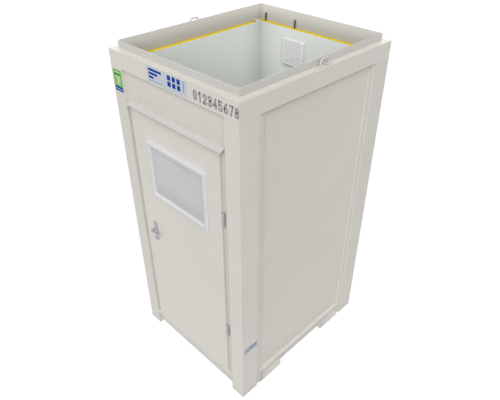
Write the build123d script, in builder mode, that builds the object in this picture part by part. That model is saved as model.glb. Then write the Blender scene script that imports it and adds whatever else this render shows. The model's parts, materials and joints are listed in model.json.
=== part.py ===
from build123d import *
import math
import os

os.makedirs("parts", exist_ok=True)

# Small sanitary cabin of folded sheet steel. Millimetres, +Z up.
# The door faces -Y, and the origin is on the ground under the middle of the cabin.

# Overall size, and the walls from the outer sheet's face to the room
width = 1200.0
depth = 1400.0
height = 2540.0
side_wall = 63.5
end_wall = 70.5

# Corner posts, folded from one sheet
frame_sheet = 3.0
post_face = 120.0
post_flank = 155.0
post_step = 10.0
post_lip = 37.0
post_return = 40.0
side_inset = 23.0
end_inset = 16.0

# Roof rails
roof_band = 113.0
roof_flange = 47.0
kerb_height = 49.0
kerb_web = 120.0
bracket_sheet = 2.0
bracket_width = 50.0
bracket_from_corner = 8.0
bracket_drop = 53.0
bracket_rise = 12.0

# Base rails, their feet and the floor
base_height = 138.0
base_plate = 4.0
base_setback = 37.0
base_shelf = 100.0
base_lip = 30.0
foot_half_gap = 267.0
joist_count = 3
joist_width = 50.0
joist_height = 94.0
joist_plate = 4.0
underlay_sheet = 1.0
deck_thick = 20.0
covering_thick = 2.0
floor_gap = 0.5

# Wall sheets
skin = 1.0
lining = 1.5
groove_pitch = 96.0
groove_width = 12.0
groove_depth = 1.0
panel_lap = 30.0
slab_gap = 0.5

# Lifting eyes
eye_rod = 10.0
eye_foot = 40.0
eye_top = 28.0
eye_stub = 26.0
eye_height = 58.0
eye_edge = 8.0
eye_bend = 9.0

# Door leaf and frame
leaf_thick = 40.0
leaf_skin = 1.5
leaf_inset = 10.0
leaf_sill_gap = 10.0
closing_gap = 25.0
hinge_strip = 60.0
transom_height = 226.0
leaf_clear = 4.0
jamb_inset = 12.0
jamb_sheet = 2.0
stop_lap = 24.0
head_height = 28.0
sill_front = 14.0
sill_height = 8.0
seal_thick = 6.0
seal_width = 12.0
seal_clear = 0.3
drip_end_gap = 16.0
drip_reach = 38.0
drip_fall = 15.0
drip_back = 18.0
drip_lip = 7.0
drip_sheet = 2.0
drip_clear = 24.0

# Door window
window_width = 591.0
window_height = 443.0
window_below_head = 424.5
window_shift = 6.5
window_bar = 33.0
window_proud = 22.0
window_inner_proud = 9.0
window_bevel = 6.0
pane_thick = 6.0
glazing_lap = 22.0
glazing_clear = 0.5

# Hinges
hinge_offset = 18.0
hinge_radius = 9.0
hinge_length = 106.0
hinge_gap = 0.6
hinge_from_sill = 491.0
hinge_from_head = 483.0
pin_radius = 5.0
pin_length = 42.0
running_clear = 0.05
lug_width = 12.0

# Handle and lock
handle_inset = 111.0
handle_level = 1163.0
plate_width = 40.0
plate_height = 176.0
plate_drop = 22.0
plate_thick = 8.0
lever_reach = 50.0
lever_length = 90.0
lever_radius = 8.0
neck_radius = 9.0
spindle_radius = 5.0
turn_drop = 86.0
turn_radius = 8.0
turn_reach = 22.0
turn_blade = 34.0
cylinder_radius = 11.0
cylinder_proud = 3.0
skin_hole = 13.0
case_behind = 23.0
case_height = 190.0
case_drop = 38.0
case_wall = 2.0
case_room = 0.5
case_gap = 0.7
forend_thick = 3.0
forend_margin = 18.0
bolt_thick = 7.0
bolt_clear = 0.3
latch_height = 24.0
latch_throw = 12.0
latch_tail = 60.0
dead_height = 26.0
dead_throw = 16.0
dead_tail = 36.0

# Ventilator in the rear wall
vent_x = -163.5
vent_below_top = 172.0
cover_size = 198.0
cover_depth = 20.0
cover_wall = 2.5
louvre_count = 13
louvre_gap = 6.0
duct_radius = 61.0
duct_wall = 2.0
duct_fit = 0.5
rotor_tip_gap = 3.0
rotor_hub = 20.0
rotor_depth = 22.0
blade_count = 7
blade_thick = 3.0
blade_twist = 35.0
blade_depth = 14.0
axle_radius = 3.0
motor_radius = 24.0
motor_length = 26.0
arm_width = 8.0
hood_size = 170.0
hood_depth = 34.0
hood_wall = 1.5

# Power inlets and the two supply cables
inlet_from_corner = 61.0
inlet_spacing = 299.0
inlet_width = 76.0
inlet_depth = 35.0
inlet_flange = 92.0
inlet_plate = 6.0
inlet_collar = 30.0
inlet_collar_depth = 14.0
inlet_margin = 3.0
cable_radius = 5.5
cable_stand = 8.5
cable_tail = 80.0
cable_fit = 0.3

# Lamp
lamp_length = 300.0
lamp_height = 90.0
lamp_depth = 55.0
lamp_below_top = 410.0
lamp_round = 18.0

# Toilet
wc_x = -100.0
rim_height = 400.0
rim_half = (180.0, 225.0)
waist_half = (122.0, 196.0)
waist_height = 200.0
plinth_half = (110.0, 190.0)
well_half = (140.0, 178.0)
well_floor_half = (55.0, 70.0)
well_depth = 180.0
hollow_wall = 13.0
hollow_height = 180.0
shelf_half = 105.0
shelf_depth = 70.0
shelf_start = 192.0
outlet_level = 170.0
outlet_radius = 52.0
outlet_length = 95.0
pipe_radius = 55.0
pipe_wall = 3.0
pipe_fit = 0.5
pipe_collar = 66.0
pipe_collar_thick = 4.0
cistern_width = 380.0
cistern_depth = 150.0
cistern_height = 360.0
cistern_wall = 10.0
cistern_round = 20.0
button_radius = 20.0
button_proud = 6.0
button_skirt = 16.0
button_fit = 0.3
seat_half = (184.0, 230.0)
seat_hole_half = (125.0, 165.0)
seat_thick = 18.0
seat_rest = 0.3
seat_pin_back = 212.0
seat_to_cistern = 43.0
seat_pin_up = 10.5
seat_pin_radius = 4.0
seat_knuckle = 8.5
seat_arm_x = 62.0
seat_arm_width = 26.0
seat_back_clear = 1.0
seat_lug_width = 12.0
seat_lug_gap = 0.5

# Wash basin on the right-hand wall
basin_y = -290.0
basin_rim = 850.0
basin_reach = 250.0
basin_width = 360.0
basin_height = 140.0
basin_foot_reach = 200.0
basin_foot_width = 280.0
basin_front = 15.0
basin_side = 30.0
basin_ledge = 59.0
basin_slope = 20.0
basin_floor = 18.0
basin_round = 34.0
drain_radius = 16.0
tap_back = 34.0
tap_radius = 15.0
tap_height = 105.0
spout_radius = 9.0
spout_reach = 105.0
spout_drop = 22.0
tap_pin = 5.0
tap_pin_length = 12.0
tap_cap_height = 18.0
tap_arm = 70.0
tap_arm_width = 14.0
trap_radius = 28.0
trap_length = 90.0
trap_drop = 120.0

# Water inlet and paper holder
water_x = 300.0
water_level = 330.0
water_radius = 10.65
water_wall = 2.6
water_flange = 26.0
water_flange_thick = 4.0
water_tail = 48.0
reach_out = 40.0
paper_y = 330.0
paper_level = 700.0
paper_stand = 70.0
paper_radius = 54.0
paper_width = 96.0
paper_core = 20.0
paper_fit = 0.3
holder_arm = 6.0
holder_plate = 50.0

# Planes that several pieces share
side_x = width / 2
end_y = depth / 2
roof_top = height - kerb_height
roof_low = roof_top - roof_band
wall_top = height - kerb_web
web_x = side_x - roof_flange
web_y = end_y - roof_flange
web_in_x = web_x - frame_sheet
web_in_y = web_y - frame_sheet
panel_x = side_x - side_inset
panel_y = end_y - end_inset
room_x = panel_x - side_wall
room_y = panel_y - end_wall
core_x = room_x + lining
core_y = room_y + lining
post_edge = side_x - post_face
lip_y = end_y - post_flank - post_lip
floor_top = base_height + deck_thick + covering_thick
slab_back_y = end_y - post_return
wool_x = panel_x - skin - groove_depth - slab_gap
wool_y = panel_y - skin - groove_depth - slab_gap

leaf_left = -post_edge + closing_gap
leaf_right = post_edge - hinge_strip
leaf_low = base_height + leaf_sill_gap
transom_low = roof_low - transom_height
leaf_top = transom_low - leaf_clear
leaf_front = -end_y + leaf_inset
leaf_back = leaf_front + leaf_thick
bolt_back = leaf_back - leaf_skin - case_gap - case_wall - case_room
bolt_y = (bolt_back - bolt_thick, bolt_back)
jamb_front = leaf_front + jamb_inset
stop_front = leaf_back + seal_thick
frame_back = -core_y
frame_top = transom_low + head_height
stop_left = leaf_left + stop_lap
stop_right = leaf_right - stop_lap
stop_low = leaf_low + stop_lap
stop_top = leaf_top - stop_lap

outer_reach = end_y + reach_out


def save(piece, node):
    piece.part.label = node
    export_step(piece.part, f"parts/{node}.step")


def block(x, y, z, mode=Mode.ADD):
    with Locations(((x[0] + x[1]) / 2, (y[0] + y[1]) / 2, (z[0] + z[1]) / 2)):
        Box(x[1] - x[0], y[1] - y[0], z[1] - z[0], mode=mode)


def prism(plane, outline, length, mode=Mode.ADD):
    with BuildSketch(plane) as profile:
        with BuildLine():
            Polyline(*outline, close=True)
        make_face()
    extrude(profile.sketch, amount=length, mode=mode)


def along_x(outline, x, mode=Mode.ADD):
    prism(Plane.YZ.offset(x[0]), outline, x[1] - x[0], mode)


def along_y(outline, y, mode=Mode.ADD):
    prism(Plane.XZ.offset(-y[1]), outline, y[1] - y[0], mode)


def along_z(outline, z, mode=Mode.ADD):
    prism(Plane.XY.offset(z[0]), outline, z[1] - z[0], mode)


def rod(start, end, radius, mode=Mode.ADD):
    run = Vector(*end) - Vector(*start)
    with BuildSketch(Plane(origin=start, z_dir=run)) as disc:
        Circle(radius)
    extrude(disc.sketch, amount=run.length, mode=mode)


def bent_rod(points, bends, radius, mode=Mode.ADD):
    with BuildLine() as route:
        FilletPolyline(*points, radius=bends)
    with BuildSketch(Plane(origin=route.line @ 0, z_dir=route.line % 0)) as disc:
        Circle(radius)
    sweep(disc.sketch, path=route.line, mode=mode)


def ellipse_loft(sections, mode=Mode.ADD):
    # each section is a level, a centre and two half axes
    rings = []
    for level, centre, half in sections:
        with BuildSketch(Plane.XY.offset(level)) as ring:
            with Locations(centre):
                Ellipse(*half)
        rings.append(ring.sketch)
    loft(rings, mode=mode)


def rounded_loft(sections, mode=Mode.ADD):
    # each section is a level, a centre, two full sides and a corner radius
    rings = []
    for level, centre, sides, corner in sections:
        with BuildSketch(Plane.XY.offset(level)) as ring:
            with Locations(centre):
                RectangleRounded(*sides, corner)
        rings.append(ring.sketch)
    loft(rings, mode=mode)


def folded(path, sheet):
    # closed outline of a sheet folded along a path, with its thickness on the path's left
    spots = [Vector(*spot) for spot in path]
    normals = []
    for start, end in zip(spots, spots[1:]):
        run = (end - start).normalized()
        normals.append(Vector(-run.Y, run.X))
    inner = [spots[0] + normals[0] * sheet]
    for spot, before, after in zip(spots[1:-1], normals, normals[1:]):
        inner.append(spot + (before + after) * (sheet / (1 + before.dot(after))))
    inner.append(spots[-1] + normals[-1] * sheet)
    return [(spot.X, spot.Y) for spot in spots + inner[::-1]]


def flipped(outline, first=1, second=1):
    return [(first * a, second * b) for a, b in outline]


def grooved(half, face):
    # one profiled sheet seen from above: flats at the face, with shallow V grooves between them
    count = int(2 * half / groove_pitch) - 1
    path = [(-half, face)]
    for step in range(count):
        middle = (step - (count - 1) / 2) * groove_pitch
        path.append((middle - groove_width / 2, face))
        path.append((middle, face - groove_depth))
        path.append((middle + groove_width / 2, face))
    path.append((half, face))
    return folded(path[::-1], skin)


# Corner posts, each on a foot plate
post_path = [
    (post_edge, -slab_back_y),
    (post_edge, -end_y),
    (side_x, -end_y),
    (side_x, -end_y + post_flank),
    (side_x - post_step, -end_y + post_flank),
    (side_x - post_step, -lip_y),
    (panel_x, -lip_y),
]
post_outline = folded(post_path, frame_sheet)
foot_outline = [
    (post_edge + frame_sheet, -end_y + frame_sheet),
    (side_x - frame_sheet, -end_y + frame_sheet),
    (side_x - frame_sheet, -end_y + post_flank - frame_sheet),
    (side_x - base_setback, -end_y + post_flank - frame_sheet),
    (side_x - base_setback, -end_y + base_setback),
    (post_edge + frame_sheet, -end_y + base_setback),
]
for x_sign, hand in ((-1, "left"), (1, "right")):
    for y_sign, end in ((1, "front"), (-1, "rear")):
        with BuildPart() as post:
            along_z(flipped(post_outline, x_sign, y_sign), (0, roof_low))
            along_z(flipped(foot_outline, x_sign, y_sign), (0, base_plate))
        save(post, f"corner_post_{end}_{hand}")

# Side base rails: a shelf that carries the wall, a set-back web and two feet with end plates
web_out = side_x - base_setback
web_in = web_out - base_plate
side_rail_outline = [
    (web_out, base_height),
    (side_x - base_shelf, base_height),
    (side_x - base_shelf, base_height - base_plate),
    (web_in, base_height - base_plate),
    (web_in, base_plate),
    (web_in - base_lip, base_plate),
    (web_in - base_lip, 0),
    (web_out, 0),
]
rail_end_y = end_y - base_setback - base_plate
for x_sign, hand in ((-1, "left"), (1, "right")):
    with BuildPart() as side_rail:
        along_y(flipped(side_rail_outline, x_sign), (-rail_end_y, rail_end_y))
        ledge = sorted((x_sign * web_out, x_sign * side_x))
        block(ledge, (-lip_y, lip_y), (base_height - base_plate, base_height))
        for foot in ((-lip_y, -foot_half_gap), (foot_half_gap, lip_y)):
            block(ledge, foot, (0, base_plate))
            for upright in ((foot[0], foot[0] + base_plate), (foot[1] - base_plate, foot[1])):
                block(ledge, upright, (base_plate, base_height - base_plate))
    save(side_rail, f"base_rail_{hand}")

# Front and rear base rails run between the posts
end_web_out = end_y - base_setback
end_web_in = end_web_out - base_plate
end_rail_outline = [
    (end_y, base_height),
    (end_web_in, base_height),
    (end_web_in, base_plate),
    (end_web_in - base_lip, base_plate),
    (end_web_in - base_lip, 0),
    (end_web_out, 0),
    (end_web_out, base_height - base_plate),
    (end_y, base_height - base_plate),
]
for y_sign, end in ((-1, "front"), (1, "rear")):
    with BuildPart() as end_rail:
        along_x(flipped(end_rail_outline, y_sign), (-post_edge, post_edge))
        shelf_x = side_x - base_shelf
        shelf_y = sorted((y_sign * (end_y - base_shelf), y_sign * end_web_in))
        block((-shelf_x, shelf_x), shelf_y, (base_height - base_plate, base_height))
    save(end_rail, f"base_rail_{end}")

# Floor joists, underlay sheet, deck and covering
joist_low = base_height - joist_height
joist_pitch = 2 * (end_web_in - base_lip) / (joist_count + 1)
joist_places = [(step - (joist_count - 1) / 2) * joist_pitch for step in range(joist_count)]
joist_outline = folded(
    [
        (joist_width / 2, joist_low),
        (-joist_width / 2, joist_low),
        (-joist_width / 2, base_height - base_plate),
        (joist_width / 2, base_height - base_plate),
    ][::-1],
    joist_plate,
)
with BuildPart() as floor_joists:
    for place in joist_places:
        along_x([(place + a, b) for a, b in joist_outline], (-web_in, web_in))
        block(
            (-side_x + base_shelf, side_x - base_shelf),
            (place - joist_width / 2, place + joist_width / 2),
            (base_height - base_plate, base_height),
        )
save(floor_joists, "floor_joists")

with BuildPart() as floor_underlay:
    block((-web_in, web_in), (-end_web_in, end_web_in), (joist_low - underlay_sheet, joist_low))
save(floor_underlay, "floor_underlay")

with BuildPart() as floor_deck:
    block(
        (-room_x + floor_gap, room_x - floor_gap),
        (-room_y + floor_gap, room_y - floor_gap),
        (base_height, base_height + deck_thick),
    )
save(floor_deck, "floor_deck")

with BuildPart() as floor_covering:
    block(
        (-room_x + floor_gap, room_x - floor_gap),
        (-room_y + floor_gap, room_y - floor_gap),
        (base_height + deck_thick, floor_top),
    )
save(floor_covering, "floor_covering")

# Roof rails, mitred at the corners: fascia, flange, kerb and the inner web below it


def roof_outline(outer, under):
    flange = outer - roof_flange
    return [
        (outer, roof_low),
        (outer, roof_top),
        (flange, roof_top),
        (flange, height),
        (flange - frame_sheet, height),
        (flange - frame_sheet, wall_top),
        (flange, wall_top),
        (flange, roof_top - frame_sheet),
        (outer - frame_sheet, roof_top - frame_sheet),
        (outer - frame_sheet, roof_low + frame_sheet),
        (under, roof_low + frame_sheet),
        (under, roof_low),
    ]


for x_sign, hand in ((-1, "left"), (1, "right")):
    with BuildPart() as side_roof_rail:
        along_y(flipped(roof_outline(side_x, wool_x), x_sign), (-end_y, end_y))
        for y_sign in (-1, 1):
            mitre = Plane(origin=(x_sign * side_x, y_sign * end_y, 0), z_dir=(x_sign, -y_sign, 0))
            split(bisect_by=mitre, keep=Keep.TOP)
    save(side_roof_rail, f"roof_rail_{hand}")

inlet_first = inlet_from_corner - web_in_x
inlet_places = (inlet_first, inlet_first + inlet_spacing)
inlet_low = roof_low + frame_sheet + inlet_margin
inlet_high = roof_top - frame_sheet - inlet_margin
inlet_middle = (inlet_low + inlet_high) / 2
cable_level = inlet_high - cable_radius - inlet_margin
for y_sign, end in ((-1, "front"), (1, "rear")):
    with BuildPart() as end_roof_rail:
        along_x(flipped(roof_outline(end_y, wool_y), y_sign), (-side_x, side_x))
        for x_sign in (-1, 1):
            mitre = Plane(origin=(x_sign * side_x, y_sign * end_y, 0), z_dir=(-x_sign, y_sign, 0))
            split(bisect_by=mitre, keep=Keep.TOP)
        if end == "rear":
            for place in inlet_places:
                block(
                    (place - inlet_width / 2 - inlet_margin, place + inlet_width / 2 + inlet_margin),
                    (end_y - frame_sheet, end_y),
                    (inlet_low, inlet_high),
                    mode=Mode.SUBTRACT,
                )
                web_hole = cable_radius + cable_fit
                rod((place, web_in_y, cable_level), (place, web_y, cable_level), web_hole, Mode.SUBTRACT)
    save(end_roof_rail, f"roof_rail_{end}")

with BuildPart() as lifting_eyes:
    eye_low = roof_top + eye_rod / 2
    for x_sign in (-1, 1):
        inner = x_sign * web_x
        outer = x_sign * (side_x - eye_edge - eye_rod / 2)
        half_loop = [
            (inner, -eye_foot, eye_low),
            (outer, -eye_foot, eye_low),
            (outer, -eye_foot, eye_low + eye_stub),
            (outer, -eye_top, eye_low + eye_height - eye_rod),
        ]
        loop = half_loop + [(x, -y, z) for x, y, z in half_loop[::-1]]
        bent_rod(loop, eye_bend, eye_rod / 2)
save(lifting_eyes, "lifting_eyes")

# Corner brackets: folded plates on the side linings near the corners, each with a tab over the wool to the web
bracket_top = wall_top + bracket_rise
bracket_outline = [
    (room_x - bracket_sheet, wall_top - bracket_drop),
    (room_x, wall_top - bracket_drop),
    (room_x, bracket_top - bracket_sheet),
    (web_in_x, bracket_top - bracket_sheet),
    (web_in_x, bracket_top),
    (room_x - bracket_sheet, bracket_top),
]
bracket_end = room_y - bracket_from_corner
with BuildPart() as corner_brackets:
    for x_sign in (-1, 1):
        for y_sign in (-1, 1):
            bracket_y = sorted((y_sign * (bracket_end - bracket_width), y_sign * bracket_end))
            along_y(flipped(bracket_outline, x_sign), bracket_y)
save(corner_brackets, "corner_brackets")

# Outer sheets: the long walls, the rear wall and the transom over the door
side_panel = grooved(lip_y + panel_lap, panel_x)
for x_sign, hand in ((-1, "left"), (1, "right")):
    with BuildPart() as side_cladding:
        along_z([(x_sign * b, a) for a, b in side_panel], (base_height, roof_low))
    save(side_cladding, f"wall_cladding_{hand}")

end_panel = grooved(post_edge, panel_y)
pipe_level = floor_top + outlet_level
vent_level = wall_top - vent_below_top
wall_run = (room_y, panel_y)
duct_bore = duct_radius + duct_fit
pipe_bore = pipe_radius + pipe_fit
water_bore = water_radius + pipe_fit


def rear_wall_holes():
    # bores through the rear wall for the fan duct, the waste pipe and the water inlet
    bores = (
        (vent_x, vent_level, duct_bore),
        (wc_x, pipe_level, pipe_bore),
        (water_x, water_level, water_bore),
    )
    for x, level, radius in bores:
        rod((x, wall_run[0], level), (x, wall_run[1], level), radius, Mode.SUBTRACT)


with BuildPart() as wall_cladding_rear:
    along_z(end_panel, (base_height, roof_low))
    rear_wall_holes()
save(wall_cladding_rear, "wall_cladding_rear")

with BuildPart() as transom_cladding:
    along_z(flipped(end_panel, 1, -1), (transom_low, roof_low))
save(transom_cladding, "transom_cladding")

# Inner sheets
for x_sign, hand in ((-1, "left"), (1, "right")):
    with BuildPart() as side_lining:
        block(sorted((x_sign * room_x, x_sign * core_x)), (-core_y, core_y), (base_height, wall_top))
    save(side_lining, f"wall_lining_{hand}")

with BuildPart() as wall_lining_rear:
    block((-room_x, room_x), (room_y, core_y), (base_height, wall_top))
    rear_wall_holes()
save(wall_lining_rear, "wall_lining_rear")

with BuildPart() as wall_lining_front:
    block((-room_x, room_x), (-core_y, -room_y), (base_height, wall_top))
    block((stop_left, stop_right), (-core_y, -room_y), (base_height, stop_top), Mode.SUBTRACT)
save(wall_lining_front, "wall_lining_front")

# Mineral wool boards: two side walls, the rear wall, the transom and the bays of the floor
slab_x = core_x - slab_gap
rear_slab = [
    (-slab_x, core_y),
    (slab_x, core_y),
    (slab_x, slab_back_y - slab_gap),
    (post_edge, slab_back_y - slab_gap),
    (post_edge, wool_y),
    (-post_edge, wool_y),
    (-post_edge, slab_back_y - slab_gap),
    (-slab_x, slab_back_y - slab_gap),
]
with BuildPart() as insulation:
    for x_sign in (-1, 1):
        slab_y = web_in_y
        block(sorted((x_sign * core_x, x_sign * web_in_x)), (-slab_y, slab_y), (roof_low, wall_top))
        block(sorted((x_sign * core_x, x_sign * wool_x)), (-slab_y, slab_y), (base_height, roof_low))
    along_z(rear_slab, (base_height, roof_low))
    block((-slab_x, slab_x), (core_y, web_in_y), (roof_low, wall_top))
    rear_wall_holes()
    # the rear boards meet at the duct and at the waste pipe, and are cut square round what passes through
    for level, half in ((vent_level, duct_bore), (pipe_level, pipe_bore)):
        for meeting in (level - half, level + half):
            block((-slab_x, slab_x), wall_run, (meeting, meeting + slab_gap), Mode.SUBTRACT)
    square_cuts = (
        (vent_x, duct_bore, vent_level, duct_bore),
        (wc_x, pipe_bore, pipe_level, pipe_bore),
        (water_x, water_bore, water_level, pipe_bore),
    )
    for x, half_width, level, half in square_cuts:
        block((x - half_width, x + half_width), wall_run, (level - half, level + half), Mode.SUBTRACT)
    for place in inlet_places:
        cable_y = web_in_y - cable_stand
        rod((place, cable_y, wall_top - cable_tail), (place, cable_y, wall_top), cable_radius + cable_fit,
            Mode.SUBTRACT)
    along_z(flipped(rear_slab, 1, -1), (frame_top, roof_low))
    block((-slab_x, slab_x), (-web_in_y, -core_y), (roof_low, wall_top))
    bay_edges = [-end_web_in]
    for place in joist_places:
        bay_edges += [place - joist_width / 2, place + joist_width / 2]
    bay_edges.append(end_web_in)
    for low, high in zip(bay_edges[::2], bay_edges[1::2]):
        block((-web_in + slab_gap, web_in - slab_gap), (low + slab_gap, high - slab_gap),
              (joist_low, base_height - base_plate - slab_gap))
save(insulation, "insulation")

# Drip rail over the door
drip_low = leaf_top + drip_clear - drip_back
drip_path = [
    (-panel_y, drip_low),
    (-panel_y, drip_low + drip_back),
    (-panel_y - drip_reach, drip_low + drip_back - drip_fall),
    (-panel_y - drip_reach, drip_low + drip_back - drip_fall - drip_lip),
]
drip_half = post_edge - drip_end_gap
with BuildPart() as drip_rail:
    along_x(folded(drip_path, drip_sheet), (-drip_half, drip_half))
save(drip_rail, "drip_rail")

# Door frame: folded jambs, head and sill, with a stop behind the leaf
latch_z = (handle_level - latch_height / 2, handle_level + latch_height / 2)
dead_level = handle_level - turn_drop
dead_z = (dead_level - dead_height / 2, dead_level + dead_height / 2)


def wider(span, by):
    return (span[0] - by, span[1] + by)


left_jamb = [
    (-post_edge, frame_back),
    (-post_edge, jamb_front),
    (leaf_left - leaf_clear, jamb_front),
    (leaf_left - leaf_clear, stop_front),
    (stop_left, stop_front),
    (stop_left, frame_back),
]
right_jamb = [
    (stop_right, frame_back),
    (stop_right, stop_front),
    (leaf_right + leaf_clear, stop_front),
    (leaf_right + leaf_clear, jamb_front),
    (post_edge, jamb_front),
    (post_edge, frame_back),
]
head_path = [
    (frame_back, stop_top),
    (stop_front, stop_top),
    (stop_front, transom_low),
    (jamb_front, transom_low),
    (jamb_front, frame_top),
    (frame_back, frame_top),
]
sill_path = [
    (frame_back, base_height),
    (-end_y + sill_front, base_height),
    (-end_y + sill_front, base_height + sill_height),
    (stop_front, base_height + sill_height),
    (stop_front, stop_low),
    (frame_back, stop_low),
]
with BuildPart() as door_frame:
    along_z(folded(left_jamb, jamb_sheet), (base_height, frame_top))
    along_z(folded(right_jamb, jamb_sheet), (base_height, frame_top))
    along_x(folded(head_path[::-1], jamb_sheet), (-post_edge, post_edge))
    along_x(folded(sill_path[::-1], jamb_sheet), (-post_edge, post_edge))
    strike_x = (leaf_left - leaf_clear - latch_throw, leaf_left - leaf_clear)
    latch_gate = (jamb_front, bolt_y[1] + bolt_clear)
    block(strike_x, latch_gate, wider(latch_z, bolt_clear * 2), Mode.SUBTRACT)
    dead_x = (leaf_left - leaf_clear - jamb_sheet, leaf_left - leaf_clear)
    block(dead_x, wider(bolt_y, bolt_clear), wider(dead_z, bolt_clear * 2), Mode.SUBTRACT)
save(door_frame, "door_frame")

with BuildPart() as door_seal:
    seal_y = (leaf_back + seal_clear, stop_front)
    block((stop_left - seal_width, stop_right + seal_width), seal_y,
          (stop_low - seal_width, stop_top + seal_width))
    block((stop_left, stop_right), seal_y, (stop_low, stop_top), Mode.SUBTRACT)
save(door_seal, "door_seal")

# Door leaf: two skins round a hollow, with a collar at the window and a pocket for the lock
handle_x = leaf_left + handle_inset
cut_width = window_width - 2 * glazing_lap
cut_height = window_height - 2 * glazing_lap
window_spot = (window_shift, leaf_top - window_below_head)
window_x = (window_spot[0] - cut_width / 2, window_spot[0] + cut_width / 2)
window_z = (window_spot[1] - cut_height / 2, window_spot[1] + cut_height / 2)
case_y = wider(bolt_y, case_room + case_wall)
case_z_middle = handle_level - case_drop
case_z = (case_z_middle - case_height / 2, case_z_middle + case_height / 2)
forend_z = wider(case_z, forend_margin)
with BuildPart() as door_leaf:
    block((leaf_left, leaf_right), (leaf_front, leaf_back), (leaf_low, leaf_top))
    with BuildSketch(Plane.XZ.offset(-leaf_back + leaf_skin)) as hollow:
        with Locations(((leaf_left + leaf_right) / 2, (leaf_low + leaf_top) / 2)):
            Rectangle(leaf_right - leaf_left - 2 * leaf_skin, leaf_top - leaf_low - 2 * leaf_skin)
        with Locations(window_spot):
            Rectangle(cut_width + 2 * leaf_skin, cut_height + 2 * leaf_skin, mode=Mode.SUBTRACT)
    extrude(amount=leaf_thick - 2 * leaf_skin, mode=Mode.SUBTRACT)
    block(window_x, (leaf_front, leaf_back), window_z, Mode.SUBTRACT)
    block((leaf_left, leaf_left + leaf_skin), case_y, forend_z, Mode.SUBTRACT)
    for level in (handle_level, dead_level):
        rod((handle_x, leaf_front, level), (handle_x, leaf_back, level), skin_hole, Mode.SUBTRACT)
save(door_leaf, "door_leaf")

# Door window: a bevelled outer frame, the pane, and an inner frame that clamps it
sight_width = window_width - 2 * window_bar
sight_height = window_height - 2 * window_bar
with BuildPart() as window_outer_frame:
    with BuildSketch(Plane.XZ.offset(-leaf_front)) as outer_ring:
        with Locations(window_spot):
            Rectangle(window_width, window_height)
            Rectangle(sight_width, sight_height, mode=Mode.SUBTRACT)
    extrude(amount=window_proud)
    front_face = window_outer_frame.faces().sort_by(Axis.Y)[0]
    chamfer(front_face.edges(), length=window_bevel)
save(window_outer_frame, "window_outer_frame")

with BuildPart() as window_pane:
    with BuildSketch(Plane.XZ.offset(-leaf_front - pane_thick)) as pane_face:
        with Locations(window_spot):
            Rectangle(cut_width - 2 * glazing_clear, cut_height - 2 * glazing_clear)
    extrude(amount=pane_thick)
save(window_pane, "window_pane")

with BuildPart() as window_inner_frame:
    with BuildSketch(Plane.XZ.offset(-leaf_back)) as inner_sleeve:
        with Locations(window_spot):
            Rectangle(cut_width - 2 * glazing_clear, cut_height - 2 * glazing_clear)
            Rectangle(sight_width, sight_height, mode=Mode.SUBTRACT)
    extrude(amount=leaf_thick - pane_thick)
    with BuildSketch(Plane.XZ.offset(-leaf_back - window_inner_proud)) as inner_ring:
        with Locations(window_spot):
            Rectangle(window_width, window_height)
            Rectangle(sight_width, sight_height, mode=Mode.SUBTRACT)
    extrude(amount=window_inner_proud)
save(window_inner_frame, "window_inner_frame")

# Hinges: the lower half of each barrel holds the pin and is welded to the jamb
hinge_x = leaf_right + hinge_offset
hinge_y = leaf_front
hinge_levels = (leaf_low + hinge_from_sill, leaf_top - hinge_from_head)
with BuildPart() as hinge_pins:
    for level in hinge_levels:
        low = level - hinge_length / 2
        seat = level - hinge_gap / 2
        block((hinge_x - lug_width / 2, hinge_x + lug_width / 2), (hinge_y, jamb_front), (low, seat))
        rod((hinge_x, hinge_y, low), (hinge_x, hinge_y, seat), hinge_radius)
        rod((hinge_x, hinge_y, seat), (hinge_x, hinge_y, seat + pin_length), pin_radius)
save(hinge_pins, "hinge_pins")

with BuildPart() as hinge_knuckles:
    for level in hinge_levels:
        high = level + hinge_length / 2
        seat = level + hinge_gap / 2
        block((leaf_right, hinge_x), (hinge_y, hinge_y + hinge_radius), (seat, high))
        rod((hinge_x, hinge_y, seat), (hinge_x, hinge_y, high), hinge_radius)
        bore_end = level - hinge_gap / 2 + pin_length + hinge_gap
        pin_bore = pin_radius + running_clear
        rod((hinge_x, hinge_y, seat), (hinge_x, hinge_y, bore_end), pin_bore, Mode.SUBTRACT)
save(hinge_knuckles, "hinge_knuckles")

# Handle plates outside and inside; the outer one carries the key cylinder's face
plate_middle = handle_level - plate_drop
with BuildPart() as handle_plates:
    for face, direction in ((leaf_front, 1), (leaf_back, -1)):
        with BuildSketch(Plane.XZ.offset(-face)) as plate:
            with Locations((handle_x, plate_middle)):
                RectangleRounded(plate_width, plate_height, plate_width / 4)
            with Locations((handle_x, handle_level)):
                Circle(neck_radius + running_clear, mode=Mode.SUBTRACT)
            if direction < 0:
                with Locations((handle_x, dead_level)):
                    Circle(turn_radius + running_clear, mode=Mode.SUBTRACT)
        extrude(amount=direction * plate_thick)
    cylinder_front = leaf_front - plate_thick - cylinder_proud
    rod((handle_x, cylinder_front, dead_level), (handle_x, leaf_front, dead_level), cylinder_radius)
save(handle_plates, "handle_plates")

# Both levers and the spindle that joins them
with BuildPart() as lever_handle:
    outer_y = -outer_reach + neck_radius
    inner_y = leaf_back + lever_reach - lever_radius
    for lever_y, face in ((outer_y, leaf_front), (inner_y, leaf_back)):
        rod((handle_x, lever_y, handle_level), (handle_x, face, handle_level), neck_radius)
        lever_tip = (handle_x + lever_length, lever_y, handle_level)
        rod((handle_x, lever_y, handle_level), lever_tip, lever_radius)
        with Locations(lever_tip):
            Sphere(lever_radius)
        with Locations((handle_x, lever_y, handle_level)):
            Sphere(neck_radius)
    rod((handle_x, leaf_front, handle_level), (handle_x, leaf_back, handle_level), spindle_radius)
save(lever_handle, "lever_handle")

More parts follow.
